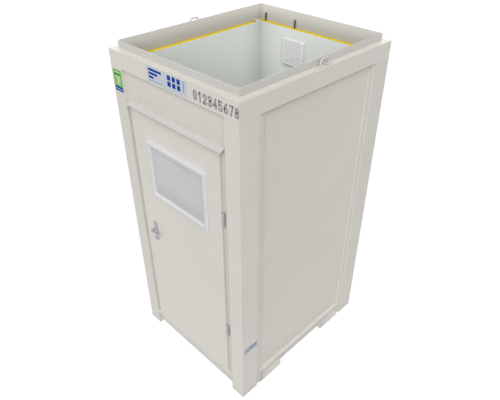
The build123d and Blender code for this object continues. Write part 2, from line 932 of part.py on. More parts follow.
# Lock case with its forend, and the two bolts that slide through it
case_x = (leaf_left + forend_thick, handle_x + case_behind)
with BuildPart() as lock_case:
    block(case_x, case_y, case_z)
    block(
        (case_x[0], case_x[1] - case_wall),
        wider(case_y, -case_wall),
        wider(case_z, -case_wall),
        Mode.SUBTRACT,
    )
    block((leaf_left, leaf_left + forend_thick), case_y, forend_z)
    forend_x = (leaf_left, leaf_left + forend_thick)
    for bolt_z in (latch_z, dead_z):
        block(forend_x, wider(bolt_y, bolt_clear), wider(bolt_z, bolt_clear), Mode.SUBTRACT)
    for level, radius in ((handle_level, spindle_radius), (dead_level, turn_radius)):
        rod((handle_x, case_y[0], level), (handle_x, case_y[1], level), radius + bolt_clear, Mode.SUBTRACT)
save(lock_case, "lock_case")

with BuildPart() as latch_bolt:
    block((leaf_left - latch_throw, leaf_left + latch_tail), bolt_y, latch_z)
save(latch_bolt, "latch_bolt")

with BuildPart() as dead_bolt:
    block((leaf_left, leaf_left + dead_throw + dead_tail), bolt_y, dead_z)
save(dead_bolt, "dead_bolt")

with BuildPart() as thumb_turn:
    knob_y = leaf_back + plate_thick
    rod((handle_x, bolt_y[0], dead_level), (handle_x, knob_y, dead_level), turn_radius)
    rod((handle_x, knob_y, dead_level), (handle_x, knob_y + turn_reach / 2, dead_level), cylinder_radius)
    with BuildSketch(Plane.XZ.offset(-knob_y - turn_reach)) as blade:
        with Locations((handle_x, dead_level)):
            SlotOverall(turn_blade, turn_radius, rotation=90)
    extrude(amount=turn_reach)
save(thumb_turn, "thumb_turn")

# Ventilator: louvred cover inside, duct with the motor, rotor, and a hood outside
cover_front = room_y - cover_depth
with BuildPart() as vent_cover:
    with BuildSketch(Plane.XZ.offset(-room_y)) as cover_face:
        with Locations((vent_x, vent_level)):
            RectangleRounded(cover_size, cover_size, cover_depth / 2)
    extrude(amount=cover_depth)
    rim = vent_cover.faces().sort_by(Axis.Y)[0].edges()
    fillet(rim, radius=cover_wall)
    with BuildSketch(Plane.XZ.offset(-room_y)) as cover_room:
        with Locations((vent_x, vent_level)):
            Rectangle(cover_size - 4 * cover_wall, cover_size - 4 * cover_wall)
    extrude(amount=cover_depth - cover_wall, mode=Mode.SUBTRACT)
    louvre_field = cover_size - 2 * cover_depth
    with BuildSketch(Plane.XZ.offset(-cover_front - cover_wall)) as louvres:
        with Locations((vent_x, vent_level)):
            with GridLocations(0, louvre_field / (louvre_count - 1), 1, louvre_count):
                SlotOverall(louvre_field, louvre_gap)
    extrude(amount=cover_wall, mode=Mode.SUBTRACT)
save(vent_cover, "vent_cover")

duct_y = (room_y, panel_y)
motor_y = duct_y[1] - motor_length
with BuildPart() as fan_housing:
    rod((vent_x, duct_y[0], vent_level), (vent_x, duct_y[1], vent_level), duct_radius)
    bore = duct_radius - duct_wall
    rod((vent_x, duct_y[0], vent_level), (vent_x, duct_y[1], vent_level), bore, Mode.SUBTRACT)
    arm_y = (duct_y[1] - arm_width, duct_y[1])
    block((vent_x - bore, vent_x + bore), arm_y, (vent_level - arm_width / 2, vent_level + arm_width / 2))
    block((vent_x - arm_width / 2, vent_x + arm_width / 2), arm_y, (vent_level - bore, vent_level + bore))
    rod((vent_x, motor_y, vent_level), (vent_x, duct_y[1], vent_level), motor_radius)
    axle_tip = motor_y - rotor_depth
    rod((vent_x, axle_tip, vent_level), (vent_x, motor_y, vent_level), axle_radius)
save(fan_housing, "fan_housing")

rotor_radius = bore - rotor_tip_gap
with BuildPart() as fan_rotor:
    hub_y = (motor_y - rotor_depth, motor_y - bolt_clear)
    rod((vent_x, hub_y[0], vent_level), (vent_x, hub_y[1], vent_level), rotor_hub)
    blade_middle = (hub_y[0] + hub_y[1]) / 2
    hub_plane = Plane(origin=(vent_x, blade_middle, vent_level), x_dir=(1, 0, 0), z_dir=(0, -1, 0))
    with Locations(hub_plane):
        with PolarLocations(0, blade_count):
            with Locations(Location(((rotor_hub + rotor_radius) / 2, 0, 0), (blade_twist, 0, 0))):
                Box(rotor_radius - rotor_hub + axle_radius, blade_thick, blade_depth)
    rod((vent_x, hub_y[0], vent_level), (vent_x, hub_y[1], vent_level), axle_radius + running_clear,
        Mode.SUBTRACT)
save(fan_rotor, "fan_rotor")

with BuildPart() as vent_hood:
    hood_half = hood_size / 2
    hood_low = vent_level - hood_half
    hood_high = vent_level + hood_half
    hood_outline = [
        (panel_y, hood_low),
        (panel_y + hood_depth, hood_low),
        (panel_y + hood_depth, vent_level),
        (panel_y + hood_wall * 2, hood_high),
        (panel_y, hood_high),
    ]
    along_x(hood_outline, (vent_x - hood_half, vent_x + hood_half))
    hood_room = [
        (panel_y, hood_low),
        (panel_y + hood_depth - hood_wall, hood_low),
        (panel_y + hood_depth - hood_wall, vent_level - hood_wall),
        (panel_y + hood_wall, hood_high - hood_wall * 2),
        (panel_y, hood_high - hood_wall * 2),
    ]
    along_x(hood_room, (vent_x - hood_half + hood_wall, vent_x + hood_half - hood_wall), Mode.SUBTRACT)
save(vent_hood, "vent_hood")

# Power inlets in the rear roof rail, each with its cable into the wall
with BuildPart() as power_inlets:
    inlet_back = end_y - frame_sheet - inlet_depth
    flange_half = (inlet_high - inlet_low) / 2 + inlet_margin
    for place in inlet_places:
        inlet_x = (place - inlet_width / 2, place + inlet_width / 2)
        block(inlet_x, (inlet_back, end_y), (inlet_low, inlet_high))
        block(
            (place - inlet_flange / 2, place + inlet_flange / 2),
            (end_y, end_y + inlet_plate),
            (inlet_middle - flange_half, inlet_middle + flange_half),
        )
        collar_y = end_y + inlet_plate + inlet_collar_depth
        rod((place, end_y, inlet_middle), (place, collar_y, inlet_middle), inlet_collar)
save(power_inlets, "power_inlets")

with BuildPart() as supply_cables:
    for place in inlet_places:
        cable_y = web_in_y - cable_stand
        route = [
            (place, inlet_back, cable_level),
            (place, cable_y, cable_level),
            (place, cable_y, wall_top - cable_tail),
        ]
        bent_rod(route, cable_stand, cable_radius)
save(supply_cables, "supply_cables")

# Lamp on the right-hand wall
lamp_level = wall_top - lamp_below_top
with BuildPart() as lamp:
    block(
        (room_x - lamp_depth, room_x),
        (basin_y - lamp_length / 2, basin_y + lamp_length / 2),
        (lamp_level - lamp_height / 2, lamp_level + lamp_height / 2),
    )
    fillet(lamp.faces().sort_by(Axis.X)[0].edges(), radius=lamp_round)
save(lamp, "lamp")

# Toilet bowl on a hollow plinth, with the shelf for the cistern and the outlet
rim_z = floor_top + rim_height
seat_pin_y = room_y - cistern_depth - seat_to_cistern
bowl_y = seat_pin_y - seat_pin_back
bowl_spot = (wc_x, bowl_y)
plinth_spot = (wc_x, bowl_y + rim_half[1] - plinth_half[1])
hollow_top = (waist_half[0] - hollow_wall, waist_half[1] - hollow_wall)
hollow_foot = (plinth_half[0] - hollow_wall, plinth_half[1] - hollow_wall)
seat_pin_z = rim_z + seat_pin_up
lug_inner = seat_arm_x + seat_arm_width / 2 + seat_lug_gap
with BuildPart() as toilet_bowl:
    ellipse_loft(
        [
            (floor_top, plinth_spot, plinth_half),
            (floor_top + waist_height, plinth_spot, waist_half),
            (rim_z, bowl_spot, rim_half),
        ]
    )
    shelf_y = (bowl_y + shelf_start, room_y)
    block((wc_x - shelf_half, wc_x + shelf_half), shelf_y, (rim_z - shelf_depth, rim_z))
    outlet_end = room_y - outlet_length
    rod((wc_x, bowl_y + waist_half[1] / 2, pipe_level), (wc_x, outlet_end, pipe_level), outlet_radius)
    ellipse_loft(
        [(rim_z - well_depth, bowl_spot, well_floor_half), (rim_z, bowl_spot, well_half)], Mode.SUBTRACT
    )
    ellipse_loft(
        [
            (floor_top, plinth_spot, hollow_foot),
            (floor_top + hollow_height, plinth_spot, hollow_top),
        ],
        Mode.SUBTRACT,
    )
    for x_sign in (-1, 1):
        lug_x = sorted((wc_x + x_sign * lug_inner, wc_x + x_sign * (lug_inner + seat_lug_width)))
        lug_y = (seat_pin_y - seat_knuckle, seat_pin_y + seat_knuckle)
        block(lug_x, lug_y, (rim_z, seat_pin_z + seat_knuckle))
        tip = wc_x + x_sign * (seat_arm_x - seat_arm_width / 2)
        rod((tip, seat_pin_y, seat_pin_z), (lug_x[0], seat_pin_y, seat_pin_z), seat_pin_radius)
save(toilet_bowl, "toilet_bowl")

with BuildPart() as toilet_seat:
    with BuildSketch(Plane.XY.offset(rim_z + seat_rest)) as seat_ring:
        with Locations(bowl_spot):
            Ellipse(*seat_half)
        lug_swing = math.hypot(seat_knuckle, seat_knuckle)
        seat_back = seat_pin_y - lug_swing - seat_back_clear
        with Locations((wc_x, seat_back + seat_half[1])):
            Rectangle(2 * seat_half[0], 2 * seat_half[1], mode=Mode.SUBTRACT)
        with Locations(bowl_spot):
            Ellipse(*seat_hole_half, mode=Mode.SUBTRACT)
    extrude(amount=seat_thick)
    for x_sign in (-1, 1):
        arm_middle = wc_x + x_sign * seat_arm_x
        arm_x = (arm_middle - seat_arm_width / 2, arm_middle + seat_arm_width / 2)
        arm_z = (seat_pin_z - seat_knuckle / 2, rim_z + seat_rest + seat_thick)
        block(arm_x, (seat_back - seat_arm_width / 2, seat_pin_y), arm_z)
        rod((arm_x[0], seat_pin_y, seat_pin_z), (arm_x[1], seat_pin_y, seat_pin_z), seat_knuckle)
        pin_hole = seat_pin_radius + running_clear
        rod((arm_x[0], seat_pin_y, seat_pin_z), (arm_x[1], seat_pin_y, seat_pin_z), pin_hole, Mode.SUBTRACT)
save(toilet_seat, "toilet_seat")

# Cistern with its flush button
cistern_top = rim_z + cistern_height
cistern_y = room_y - cistern_depth / 2
with BuildPart() as cistern:
    with BuildSketch(Plane.XY.offset(rim_z)) as tank:
        with Locations((wc_x, cistern_y)):
            RectangleRounded(cistern_width, cistern_depth, cistern_round)
    extrude(amount=cistern_height)
    with BuildSketch(Plane.XY.offset(rim_z + cistern_wall)) as tank_room:
        with Locations((wc_x, cistern_y)):
            RectangleRounded(cistern_width - 2 * cistern_wall, cistern_depth - 2 * cistern_wall,
                             cistern_round - cistern_wall)
    extrude(amount=cistern_height - 2 * cistern_wall, mode=Mode.SUBTRACT)
    rod((wc_x, cistern_y, cistern_top - cistern_wall), (wc_x, cistern_y, cistern_top),
        button_radius + button_fit, Mode.SUBTRACT)
save(cistern, "cistern")

with BuildPart() as flush_button:
    rod((wc_x, cistern_y, cistern_top - button_skirt), (wc_x, cistern_y, cistern_top + button_proud),
        button_radius)
save(flush_button, "flush_button")

# Wash basin, tap and trap
basin_z = floor_top + basin_rim
basin_x = room_x - basin_reach / 2
foot_x = room_x - basin_foot_reach / 2
foot_sides = (basin_foot_reach, basin_foot_width)
well_sides = (basin_reach - basin_front - basin_ledge, basin_width - 2 * basin_side)
well_x = room_x - basin_ledge - well_sides[0] / 2
sump_reach = basin_foot_reach - basin_front - basin_ledge - basin_slope
sump_sides = (sump_reach, basin_foot_width - 2 * basin_side)
sump_x = room_x - basin_ledge - basin_slope - sump_reach / 2
sump_z = basin_z - basin_height + basin_floor
with BuildPart() as wash_basin:
    rounded_loft(
        [
            (basin_z - basin_height, (foot_x, basin_y), foot_sides, basin_round),
            (basin_z, (basin_x, basin_y), (basin_reach, basin_width), basin_round),
        ]
    )
    rounded_loft(
        [
            (sump_z, (sump_x, basin_y), sump_sides, basin_round / 2),
            (basin_z, (well_x, basin_y), well_sides, basin_round / 2),
        ],
        Mode.SUBTRACT,
    )
    drain_top = (sump_x, basin_y, sump_z)
    rod((sump_x, basin_y, basin_z - basin_height), drain_top, drain_radius, Mode.SUBTRACT)
save(wash_basin, "wash_basin")

tap_x = room_x - tap_back
tap_top = basin_z + tap_height
with BuildPart() as tap_body:
    rod((tap_x, basin_y, basin_z), (tap_x, basin_y, tap_top), tap_radius)
    spout_tip = tap_x - spout_reach
    spout_z = tap_top - spout_drop
    rod((tap_x, basin_y, spout_z), (spout_tip, basin_y, spout_z), spout_radius)
    rod((spout_tip, basin_y, spout_z - spout_drop), (spout_tip, basin_y, spout_z), spout_radius)
    with Locations((spout_tip, basin_y, spout_z)):
        Sphere(spout_radius)
    rod((tap_x, basin_y, tap_top), (tap_x, basin_y, tap_top + tap_pin_length), tap_pin)
save(tap_body, "tap_body")

with BuildPart() as tap_lever:
    cap_low = tap_top + bolt_clear
    cap_top = cap_low + tap_cap_height
    rod((tap_x, basin_y, cap_low), (tap_x, basin_y, cap_top), tap_radius)
    block((tap_x - tap_arm, tap_x), (basin_y - tap_arm_width / 2, basin_y + tap_arm_width / 2),
          (cap_top - tap_cap_height / 2, cap_top))
    rod((tap_x, basin_y, cap_low), (tap_x, basin_y, tap_top + tap_pin_length + bolt_clear),
        tap_pin + running_clear, Mode.SUBTRACT)
save(tap_lever, "tap_lever")

# Waste pipe from the toilet through the rear wall, and the basin's bottle trap
with BuildPart() as waste_pipes:
    pipe_start = (wc_x, outlet_end, pipe_level)
    pipe_end = (wc_x, outer_reach, pipe_level)
    rod(pipe_start, pipe_end, pipe_radius)
    rod((wc_x, panel_y, pipe_level), (wc_x, panel_y + pipe_collar_thick, pipe_level), pipe_collar)
    rod(pipe_start, pipe_end, pipe_radius - pipe_wall, Mode.SUBTRACT)
    trap_top = basin_z - basin_height
    trap_low = trap_top - trap_drop - trap_length / 2
    rod((sump_x, basin_y, trap_low), (sump_x, basin_y, trap_top), drain_radius)
    rod((sump_x, basin_y, trap_low), (sump_x, basin_y, trap_low + trap_length), trap_radius)
    branch_z = trap_low + trap_length - drain_radius * 2
    rod((sump_x, basin_y, branch_z), (room_x, basin_y, branch_z), drain_radius)
save(waste_pipes, "waste_pipes")

with BuildPart() as water_inlet:
    water_start = (water_x, room_y - water_tail, water_level)
    water_end = (water_x, outer_reach, water_level)
    rod(water_start, water_end, water_radius)
    rod((water_x, panel_y, water_level), (water_x, panel_y + water_flange_thick, water_level), water_flange)
    rod(water_start, water_end, water_radius - water_wall, Mode.SUBTRACT)
save(water_inlet, "water_inlet")

# Paper holder on the left-hand wall, with its roll
paper_x = -room_x + paper_stand
paper_span = (paper_y - paper_width / 2, paper_y + paper_width / 2)
with BuildPart() as paper_holder:
    plate_y = (paper_span[0] - paper_fit - holder_arm, paper_span[1] + paper_fit + holder_arm)
    plate_z = (paper_level - holder_plate / 2, paper_level + holder_plate / 2)
    block((-room_x, -room_x + holder_arm), plate_y, plate_z)
    for arm_side in ((plate_y[0], paper_span[0] - paper_fit), (paper_span[1] + paper_fit, plate_y[1])):
        arm_z = (paper_level - paper_core, paper_level + paper_core)
        block((-room_x, paper_x + paper_core), arm_side, arm_z)
    rod((paper_x, plate_y[0], paper_level), (paper_x, plate_y[1], paper_level), paper_core - paper_fit)
save(paper_holder, "paper_holder")

with BuildPart() as paper_roll:
    roll_start = (paper_x, paper_span[0], paper_level)
    roll_end = (paper_x, paper_span[1], paper_level)
    rod(roll_start, roll_end, paper_radius)
    rod(roll_start, roll_end, paper_core, Mode.SUBTRACT)
save(paper_roll, "paper_roll")
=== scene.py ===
import json
import math
import bmesh
import bpy
import numpy as np
from mathutils import Matrix, Vector


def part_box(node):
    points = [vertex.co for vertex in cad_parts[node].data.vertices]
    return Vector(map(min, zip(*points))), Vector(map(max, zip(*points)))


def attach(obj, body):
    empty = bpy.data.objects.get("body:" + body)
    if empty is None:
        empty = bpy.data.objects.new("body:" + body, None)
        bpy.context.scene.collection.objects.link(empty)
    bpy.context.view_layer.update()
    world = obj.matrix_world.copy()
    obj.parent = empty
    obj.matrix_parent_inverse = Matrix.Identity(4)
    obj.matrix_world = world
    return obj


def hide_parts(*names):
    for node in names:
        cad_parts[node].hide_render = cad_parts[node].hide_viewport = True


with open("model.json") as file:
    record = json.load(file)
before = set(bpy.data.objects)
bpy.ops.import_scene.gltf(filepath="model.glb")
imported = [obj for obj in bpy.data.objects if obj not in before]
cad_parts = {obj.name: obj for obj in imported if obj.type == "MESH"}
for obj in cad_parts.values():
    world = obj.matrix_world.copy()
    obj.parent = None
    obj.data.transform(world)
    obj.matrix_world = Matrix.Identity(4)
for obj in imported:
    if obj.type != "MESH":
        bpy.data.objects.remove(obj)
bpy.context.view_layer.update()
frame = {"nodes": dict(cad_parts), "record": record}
nodes = frame["nodes"]
mm = 0.001


# Camera, at the photograph's viewing angle

camera = {
    "place": (2.2562, -2.2793, 3.5194),
    "azimuth": 45.0,               # degrees round the object, 0 looks along +Y
    "elevation": 35.264,
    "lens": 35.64,                 # on a 36 mm wide sensor
    "sensor": 36.0,
}


def makeCamera():
    turn, rise = math.radians(camera["azimuth"]), math.radians(camera["elevation"])
    right = Vector((math.cos(turn), math.sin(turn), 0))
    back = Vector((math.sin(turn) * math.cos(rise), -math.cos(turn) * math.cos(rise), math.sin(rise)))
    up = back.cross(right)
    lens = bpy.data.cameras.new("camera")
    lens.lens = camera["lens"]
    lens.sensor_width = camera["sensor"]
    eye = bpy.data.objects.new("camera", lens)
    bpy.context.scene.collection.objects.link(eye)
    axes = Matrix((right, up, back)).transposed().to_4x4()
    eye.matrix_world = Matrix.Translation(camera["place"]) @ axes
    bpy.context.scene.camera = eye


makeCamera()
bpy.context.scene.view_settings.view_transform = "Standard"
print("camera set")


# Shader helpers


def hexLinear(code):
    # sRGB hex to the linear values that Blender works in
    part = np.array([int(code[i:i + 2], 16) for i in (1, 3, 5)]) / 255
    linear = np.where(part <= 0.04045, part / 12.92, ((part + 0.055) / 1.055) ** 2.4)
    return (*linear.tolist(), 1.0)


def between(light, dark):
    # the two colours that a mix goes between: dark at share 0, light at share 1
    return {6: hexLinear(dark), 7: hexLinear(light)}


def addNode(tree, kind, values=None, links=None, **settings):
    # one shader node: its options, its socket values and what feeds it
    node = tree.nodes.new("ShaderNode" + kind)
    for name, value in settings.items():
        setattr(node, name, value)
    for name, value in (values or {}).items():
        node.inputs[name].default_value = value
    for name, source in (links or {}).items():
        tree.links.new(source, node.inputs[name])
    return node


def socket(mat, key):
    # the shader's socket for a keyword: base_color is Base Color, ior is IOR
    label = key.replace("_", " ").title().replace("Ior", "IOR")
    return mat.node_tree.nodes["Principled BSDF"].inputs[label]


def newFinish(name, **constants):
    # a bare material with the shader's constant sockets set, its tree and its object coordinates
    mat = bpy.data.materials.new(name)
    mat.use_nodes = True
    for key, value in constants.items():
        socket(mat, key).default_value = value
    return mat, mat.node_tree, addNode(mat.node_tree, "TexCoord").outputs["Object"]


def feed(mat, **sources):
    # links what drives the shader's other sockets, and gives the material back
    for key, source in sources.items():
        mat.node_tree.links.new(source, socket(mat, key))
    return mat


def perMetre(sizeMm):
    # texture scale for a pattern of that size
    return 1000 / sizeMm


def wavesPerMetre(sizeMm):
    # wave texture scale for bands of that width: one unit of scale draws about pi bands
    return perMetre(sizeMm) / math.pi


noiseSpan = (0.3, 0.7)             # where nearly all values of a noise texture lie
nookSpan = (0.35, 1.0)             # openness of a face, from a deep nook to a free one


# Finishes


def paintedSteel(name, light, dark, nookShade, foot=0.0, dustAndShadeShare=0.05):
    # Two-pack paint sprayed on folded sheet steel: a cream satin coat with a faint orange peel,
    # a slow drift of tone and a little dust near its foot. Painted shade darkens the nooks, but not faces
    # that look up, and the roof kerb, most of it low on the inside. The peel is drawn coarser than life.
    paint = {
        "driftMm": 650, "peelMm": 7, "peelBump": {"Strength": 0.06, "Distance": 0.4 * mm},
        "rough": (0.4, 0.52), "nookMm": 60, "dust": "#B4B2AC", "dustMm": 45, "dustHigh": 0.16,
        # a cool tint for the painted shade on the roof kerb
        "kerbShade": "#DADCE2", "kerbHalf": (0.5515, 0.6515),           # between the kerb's two faces, m
        "innerFrom": 2.415, "innerFull": 2.455, "innerEnd": 2.52,  # heights of the kerb's painted shade inside, m
        "outerFrom": 2.4925, "outerShare": 0.5,
    }
    mat, tree, place = newFinish(name, coat_weight=0.08, coat_roughness=0.25)
    drift = addNode(tree, "TexNoise", {"Scale": perMetre(paint["driftMm"]), "Detail": 4.0}, {"Vector": place})
    tone = addNode(tree, "Mix", between(light, dark), {0: drift.outputs[0]}, data_type="RGBA")
    spot = addNode(tree, "SeparateXYZ", links={0: place}).outputs
    # a darker speckled band from the foot up: dust near the ground, painted shade where it sits above the
    # drip rail
    low = addNode(tree, "MapRange", {1: foot, 2: foot + paint["dustHigh"], 3: dustAndShadeShare, 4: 0.0},
                  {0: spot["Z"]})
    specks = addNode(tree, "TexNoise", {"Scale": perMetre(paint["dustMm"]), "Detail": 6.0}, {"Vector": place})
    dustAndShadeAmount = addNode(tree, "Math", links={0: low.outputs[0], 1: specks.outputs[0]}, operation="MULTIPLY")
    dustAndShadeTone = addNode(tree, "Mix", {7: hexLinear(paint["dust"])}, {0: dustAndShadeAmount.outputs[0], 6: tone.outputs[2]},
                   data_type="RGBA")
    # painted shade on the kerb: a fading band inside it, and an even share on its outside
    withinX = addNode(tree, "Math", {1: 0.0, 2: paint["kerbHalf"][0]}, {0: spot["X"]}, operation="COMPARE")
    withinY = addNode(tree, "Math", {1: 0.0, 2: paint["kerbHalf"][1]}, {0: spot["Y"]}, operation="COMPARE")
    inside = addNode(tree, "Math", links={0: withinX.outputs[0], 1: withinY.outputs[0]}, operation="MULTIPLY")
    roofward = addNode(tree, "Math", {1: paint["innerFrom"]}, {0: spot["Z"]}, operation="GREATER_THAN")
    roofed = addNode(tree, "Math", links={0: roofward.outputs[0], 1: inside.outputs[0]}, operation="MULTIPLY")
    band = addNode(tree, "MapRange", {1: paint["innerFull"], 2: paint["innerEnd"], 3: 1.0, 4: 0.0},
                   {0: spot["Z"]})
    inner = addNode(tree, "Math", links={0: roofed.outputs[0], 1: band.outputs[0]}, operation="MULTIPLY")
    kerb = addNode(tree, "Math", {1: paint["outerFrom"]}, {0: spot["Z"]}, operation="GREATER_THAN")
    outside = addNode(tree, "Math", {0: 1.0}, {1: inside.outputs[0]}, operation="SUBTRACT")
    outer = addNode(tree, "Math", links={0: kerb.outputs[0], 1: outside.outputs[0]}, operation="MULTIPLY")
    share = addNode(tree, "Math", {1: paint["outerShare"]}, {0: outer.outputs[0], 2: inner.outputs[0]},
                    operation="MULTIPLY_ADD")
    kerbShaded = addNode(tree, "Mix", {7: hexLinear(paint["kerbShade"])}, {0: share.outputs[0], 6: dustAndShadeTone.outputs[2]},
                    data_type="RGBA", blend_type="MULTIPLY")
    # painted shade: darker where little of the sky is seen, but not on faces that look up
    nook = addNode(tree, "AmbientOcclusion", {"Distance": paint["nookMm"] * mm}, samples=8)
    paintedShade = addNode(tree, "MapRange", {1: nookSpan[0], 2: nookSpan[1], 3: nookShade, 4: 1.0},
                    {0: nook.outputs["AO"]})
    facing = addNode(tree, "SeparateXYZ", links={0: addNode(tree, "NewGeometry").outputs["Normal"]})
    shadeSparingTops = addNode(tree, "Math", links={0: paintedShade.outputs[0], 1: facing.outputs["Z"]}, operation="MAXIMUM")
    toneInShade = addNode(tree, "Mix", {0: 1.0}, {6: kerbShaded.outputs[2], 7: shadeSparingTops.outputs[0]}, data_type="RGBA",
                   blend_type="MULTIPLY")
    sheen = addNode(tree, "MapRange", {1: noiseSpan[0], 2: noiseSpan[1], 3: paint["rough"][0],
                                       4: paint["rough"][1]}, {0: specks.outputs[0]})
    peel = addNode(tree, "TexNoise", {"Scale": perMetre(paint["peelMm"]), "Detail": 2.0}, {"Vector": place})
    bump = addNode(tree, "Bump", paint["peelBump"], {"Height": peel.outputs[0]})
    return feed(mat, base_color=toneInShade.outputs[2], roughness=sheen.outputs[0], normal=bump.outputs[0])


def coatedSheet():
    # Coil-coated steel lining: a cool white film, smoother than the outer paint, with a fine leather grain,
    # darkened by painted shade into the room's corners
    film = {"tones": ("#E6E9E6", "#DFE3DF"), "driftMm": 900, "rough": 0.36, "nookMm": 240,
            "nookShade": 0.62, "grainMm": 3, "grainBump": {"Strength": 0.05, "Distance": 0.2 * mm}}
    mat, tree, place = newFinish("coil_coated_sheet", roughness=film["rough"])
    drift = addNode(tree, "TexNoise", {"Scale": perMetre(film["driftMm"]), "Detail": 3.0}, {"Vector": place})
    tone = addNode(tree, "Mix", between(*film["tones"]), {0: drift.outputs[0]}, data_type="RGBA")
    # painted shade: darker where little of the sky is seen, deep into the corners
    nook = addNode(tree, "AmbientOcclusion", {"Distance": film["nookMm"] * mm}, samples=8)
    paintedShade = addNode(tree, "MapRange", {1: nookSpan[0], 2: nookSpan[1], 3: film["nookShade"], 4: 1.0},
                    {0: nook.outputs["AO"]})
    toneInShade = addNode(tree, "Mix", {0: 1.0}, {6: tone.outputs[2], 7: paintedShade.outputs[0]}, data_type="RGBA",
                   blend_type="MULTIPLY")
    grain = addNode(tree, "TexNoise", {"Scale": perMetre(film["grainMm"]), "Detail": 2.0}, {"Vector": place})
    bump = addNode(tree, "Bump", film["grainBump"], {"Height": grain.outputs[0]})
    return feed(mat, base_color=toneInShade.outputs[2], normal=bump.outputs[0])


def galvanisedSteel():
    # Hot-dip zinc: dull grey metal with spangle crystals a few millimetres wide, each at its own tilt
    zinc = {"tones": ("#C3C7C9", "#9DA2A5"), "spangleMm": 11, "rough": (0.34, 0.55)}
    mat, tree, place = newFinish("galvanised_steel", metallic=1.0)
    spangle = addNode(tree, "TexVoronoi", {"Scale": perMetre(zinc["spangleMm"])}, {"Vector": place})
    shade = addNode(tree, "SeparateColor", links={0: spangle.outputs["Color"]})
    tone = addNode(tree, "Mix", between(*zinc["tones"]), {0: shade.outputs[0]}, data_type="RGBA")
    rough = addNode(tree, "MapRange", {3: zinc["rough"][0], 4: zinc["rough"][1]}, {0: shade.outputs[1]})
    return feed(mat, base_color=tone.outputs[2], roughness=rough.outputs[0])


def brushedMetal(name, light, dark, rough, grainMm, along, bare=1.0):
    # Drawn or brushed metal: hairlines far longer than wide along one axis, which streak the gloss;
    # a dull zinc coat leaves less of it bare
    brush = {"longer": 40, "bump": {"Strength": 0.08, "Distance": 0.1 * mm}}
    mat, tree, place = newFinish(name, metallic=bare)
    stretch = [perMetre(grainMm)] * 3
    stretch[along] = perMetre(grainMm * brush["longer"])
    lines = addNode(tree, "Mapping", {"Scale": stretch}, {"Vector": place})
    hair = addNode(tree, "TexNoise", {"Scale": 1.0, "Detail": 3.0}, {"Vector": lines.outputs[0]})
    tone = addNode(tree, "Mix", between(light, dark), {0: hair.outputs[0]}, data_type="RGBA")
    streak = addNode(tree, "MapRange", {1: noiseSpan[0], 2: noiseSpan[1], 3: rough[0], 4: rough[1]},
                     {0: hair.outputs[0]})
    bump = addNode(tree, "Bump", brush["bump"], {"Height": hair.outputs[0]})
    return feed(mat, base_color=tone.outputs[2], roughness=streak.outputs[0], normal=bump.outputs[0])


def chromedBrass():
    # Bright chrome plate: a mirror with faint water marks that cloud it here and there
    chrome = {"tone": "#E3E6E8", "markMm": 14, "markSpan": (0.45, 0.75), "rough": (0.04, 0.16)}
    mat, tree, place = newFinish("chromed_brass", metallic=1.0, base_color=hexLinear(chrome["tone"]))
    marks = addNode(tree, "TexNoise", {"Scale": perMetre(chrome["markMm"]), "Detail": 5.0}, {"Vector": place})
    span, rough = chrome["markSpan"], chrome["rough"]
    cloud = addNode(tree, "MapRange", {1: span[0], 2: span[1], 3: rough[0], 4: rough[1]},
                    {0: marks.outputs[0]})
    return feed(mat, roughness=cloud.outputs[0])


def mineralWool(name, tuft, hollow):
    # Matted fibres, as in glass wool and filter fleece: lighter where a tuft stands up and darker in the
    # hollows, painted shade that follows the bump's height. The fibres are drawn about ten times thicker than
    # life.
    matted = {"fibreMm": 1.6, "tuftMm": 14, "span": (0.7, 1.25),
              "bump": {"Strength": 0.7, "Distance": 1.5 * mm}}
    mat, tree, place = newFinish(name, roughness=0.95, specular_ior_level=0.05)
    bend = addNode(tree, "TexNoise", {"Scale": perMetre(matted["tuftMm"]), "Detail": 5.0}, {"Vector": place})
    fibre = addNode(tree, "TexNoise", {"Scale": perMetre(matted["fibreMm"]), "Detail": 3.0,
                                       "Distortion": 2.5}, {"Vector": place})
    mixed = addNode(tree, "Math", links={0: bend.outputs[0], 1: fibre.outputs[0]}, operation="ADD")
    share = addNode(tree, "MapRange", {1: matted["span"][0], 2: matted["span"][1]}, {0: mixed.outputs[0]})
    # painted shade: the tone follows the bump's height, darker in the hollows
    tone = addNode(tree, "Mix", between(tuft, hollow), {0: share.outputs[0]}, data_type="RGBA")
    bump = addNode(tree, "Bump", matted["bump"], {"Height": mixed.outputs[0]})
    return feed(mat, base_color=tone.outputs[2], normal=bump.outputs[0])


def chipboard():
    # Pressed wood chips under the floor covering: flakes of several browns
    board = {"tones": ("#D0AC78", "#8E6A3E"), "flakeMm": 6}
    mat, tree, place = newFinish("chipboard", roughness=0.75)
    flakes = addNode(tree, "TexVoronoi", {"Scale": perMetre(board["flakeMm"])}, {"Vector": place})
    shade = addNode(tree, "SeparateColor", links={0: flakes.outputs["Color"]})
    tone = addNode(tree, "Mix", between(*board["tones"]), {0: shade.outputs[0]}, data_type="RGBA")
    return feed(mat, base_color=tone.outputs[2])


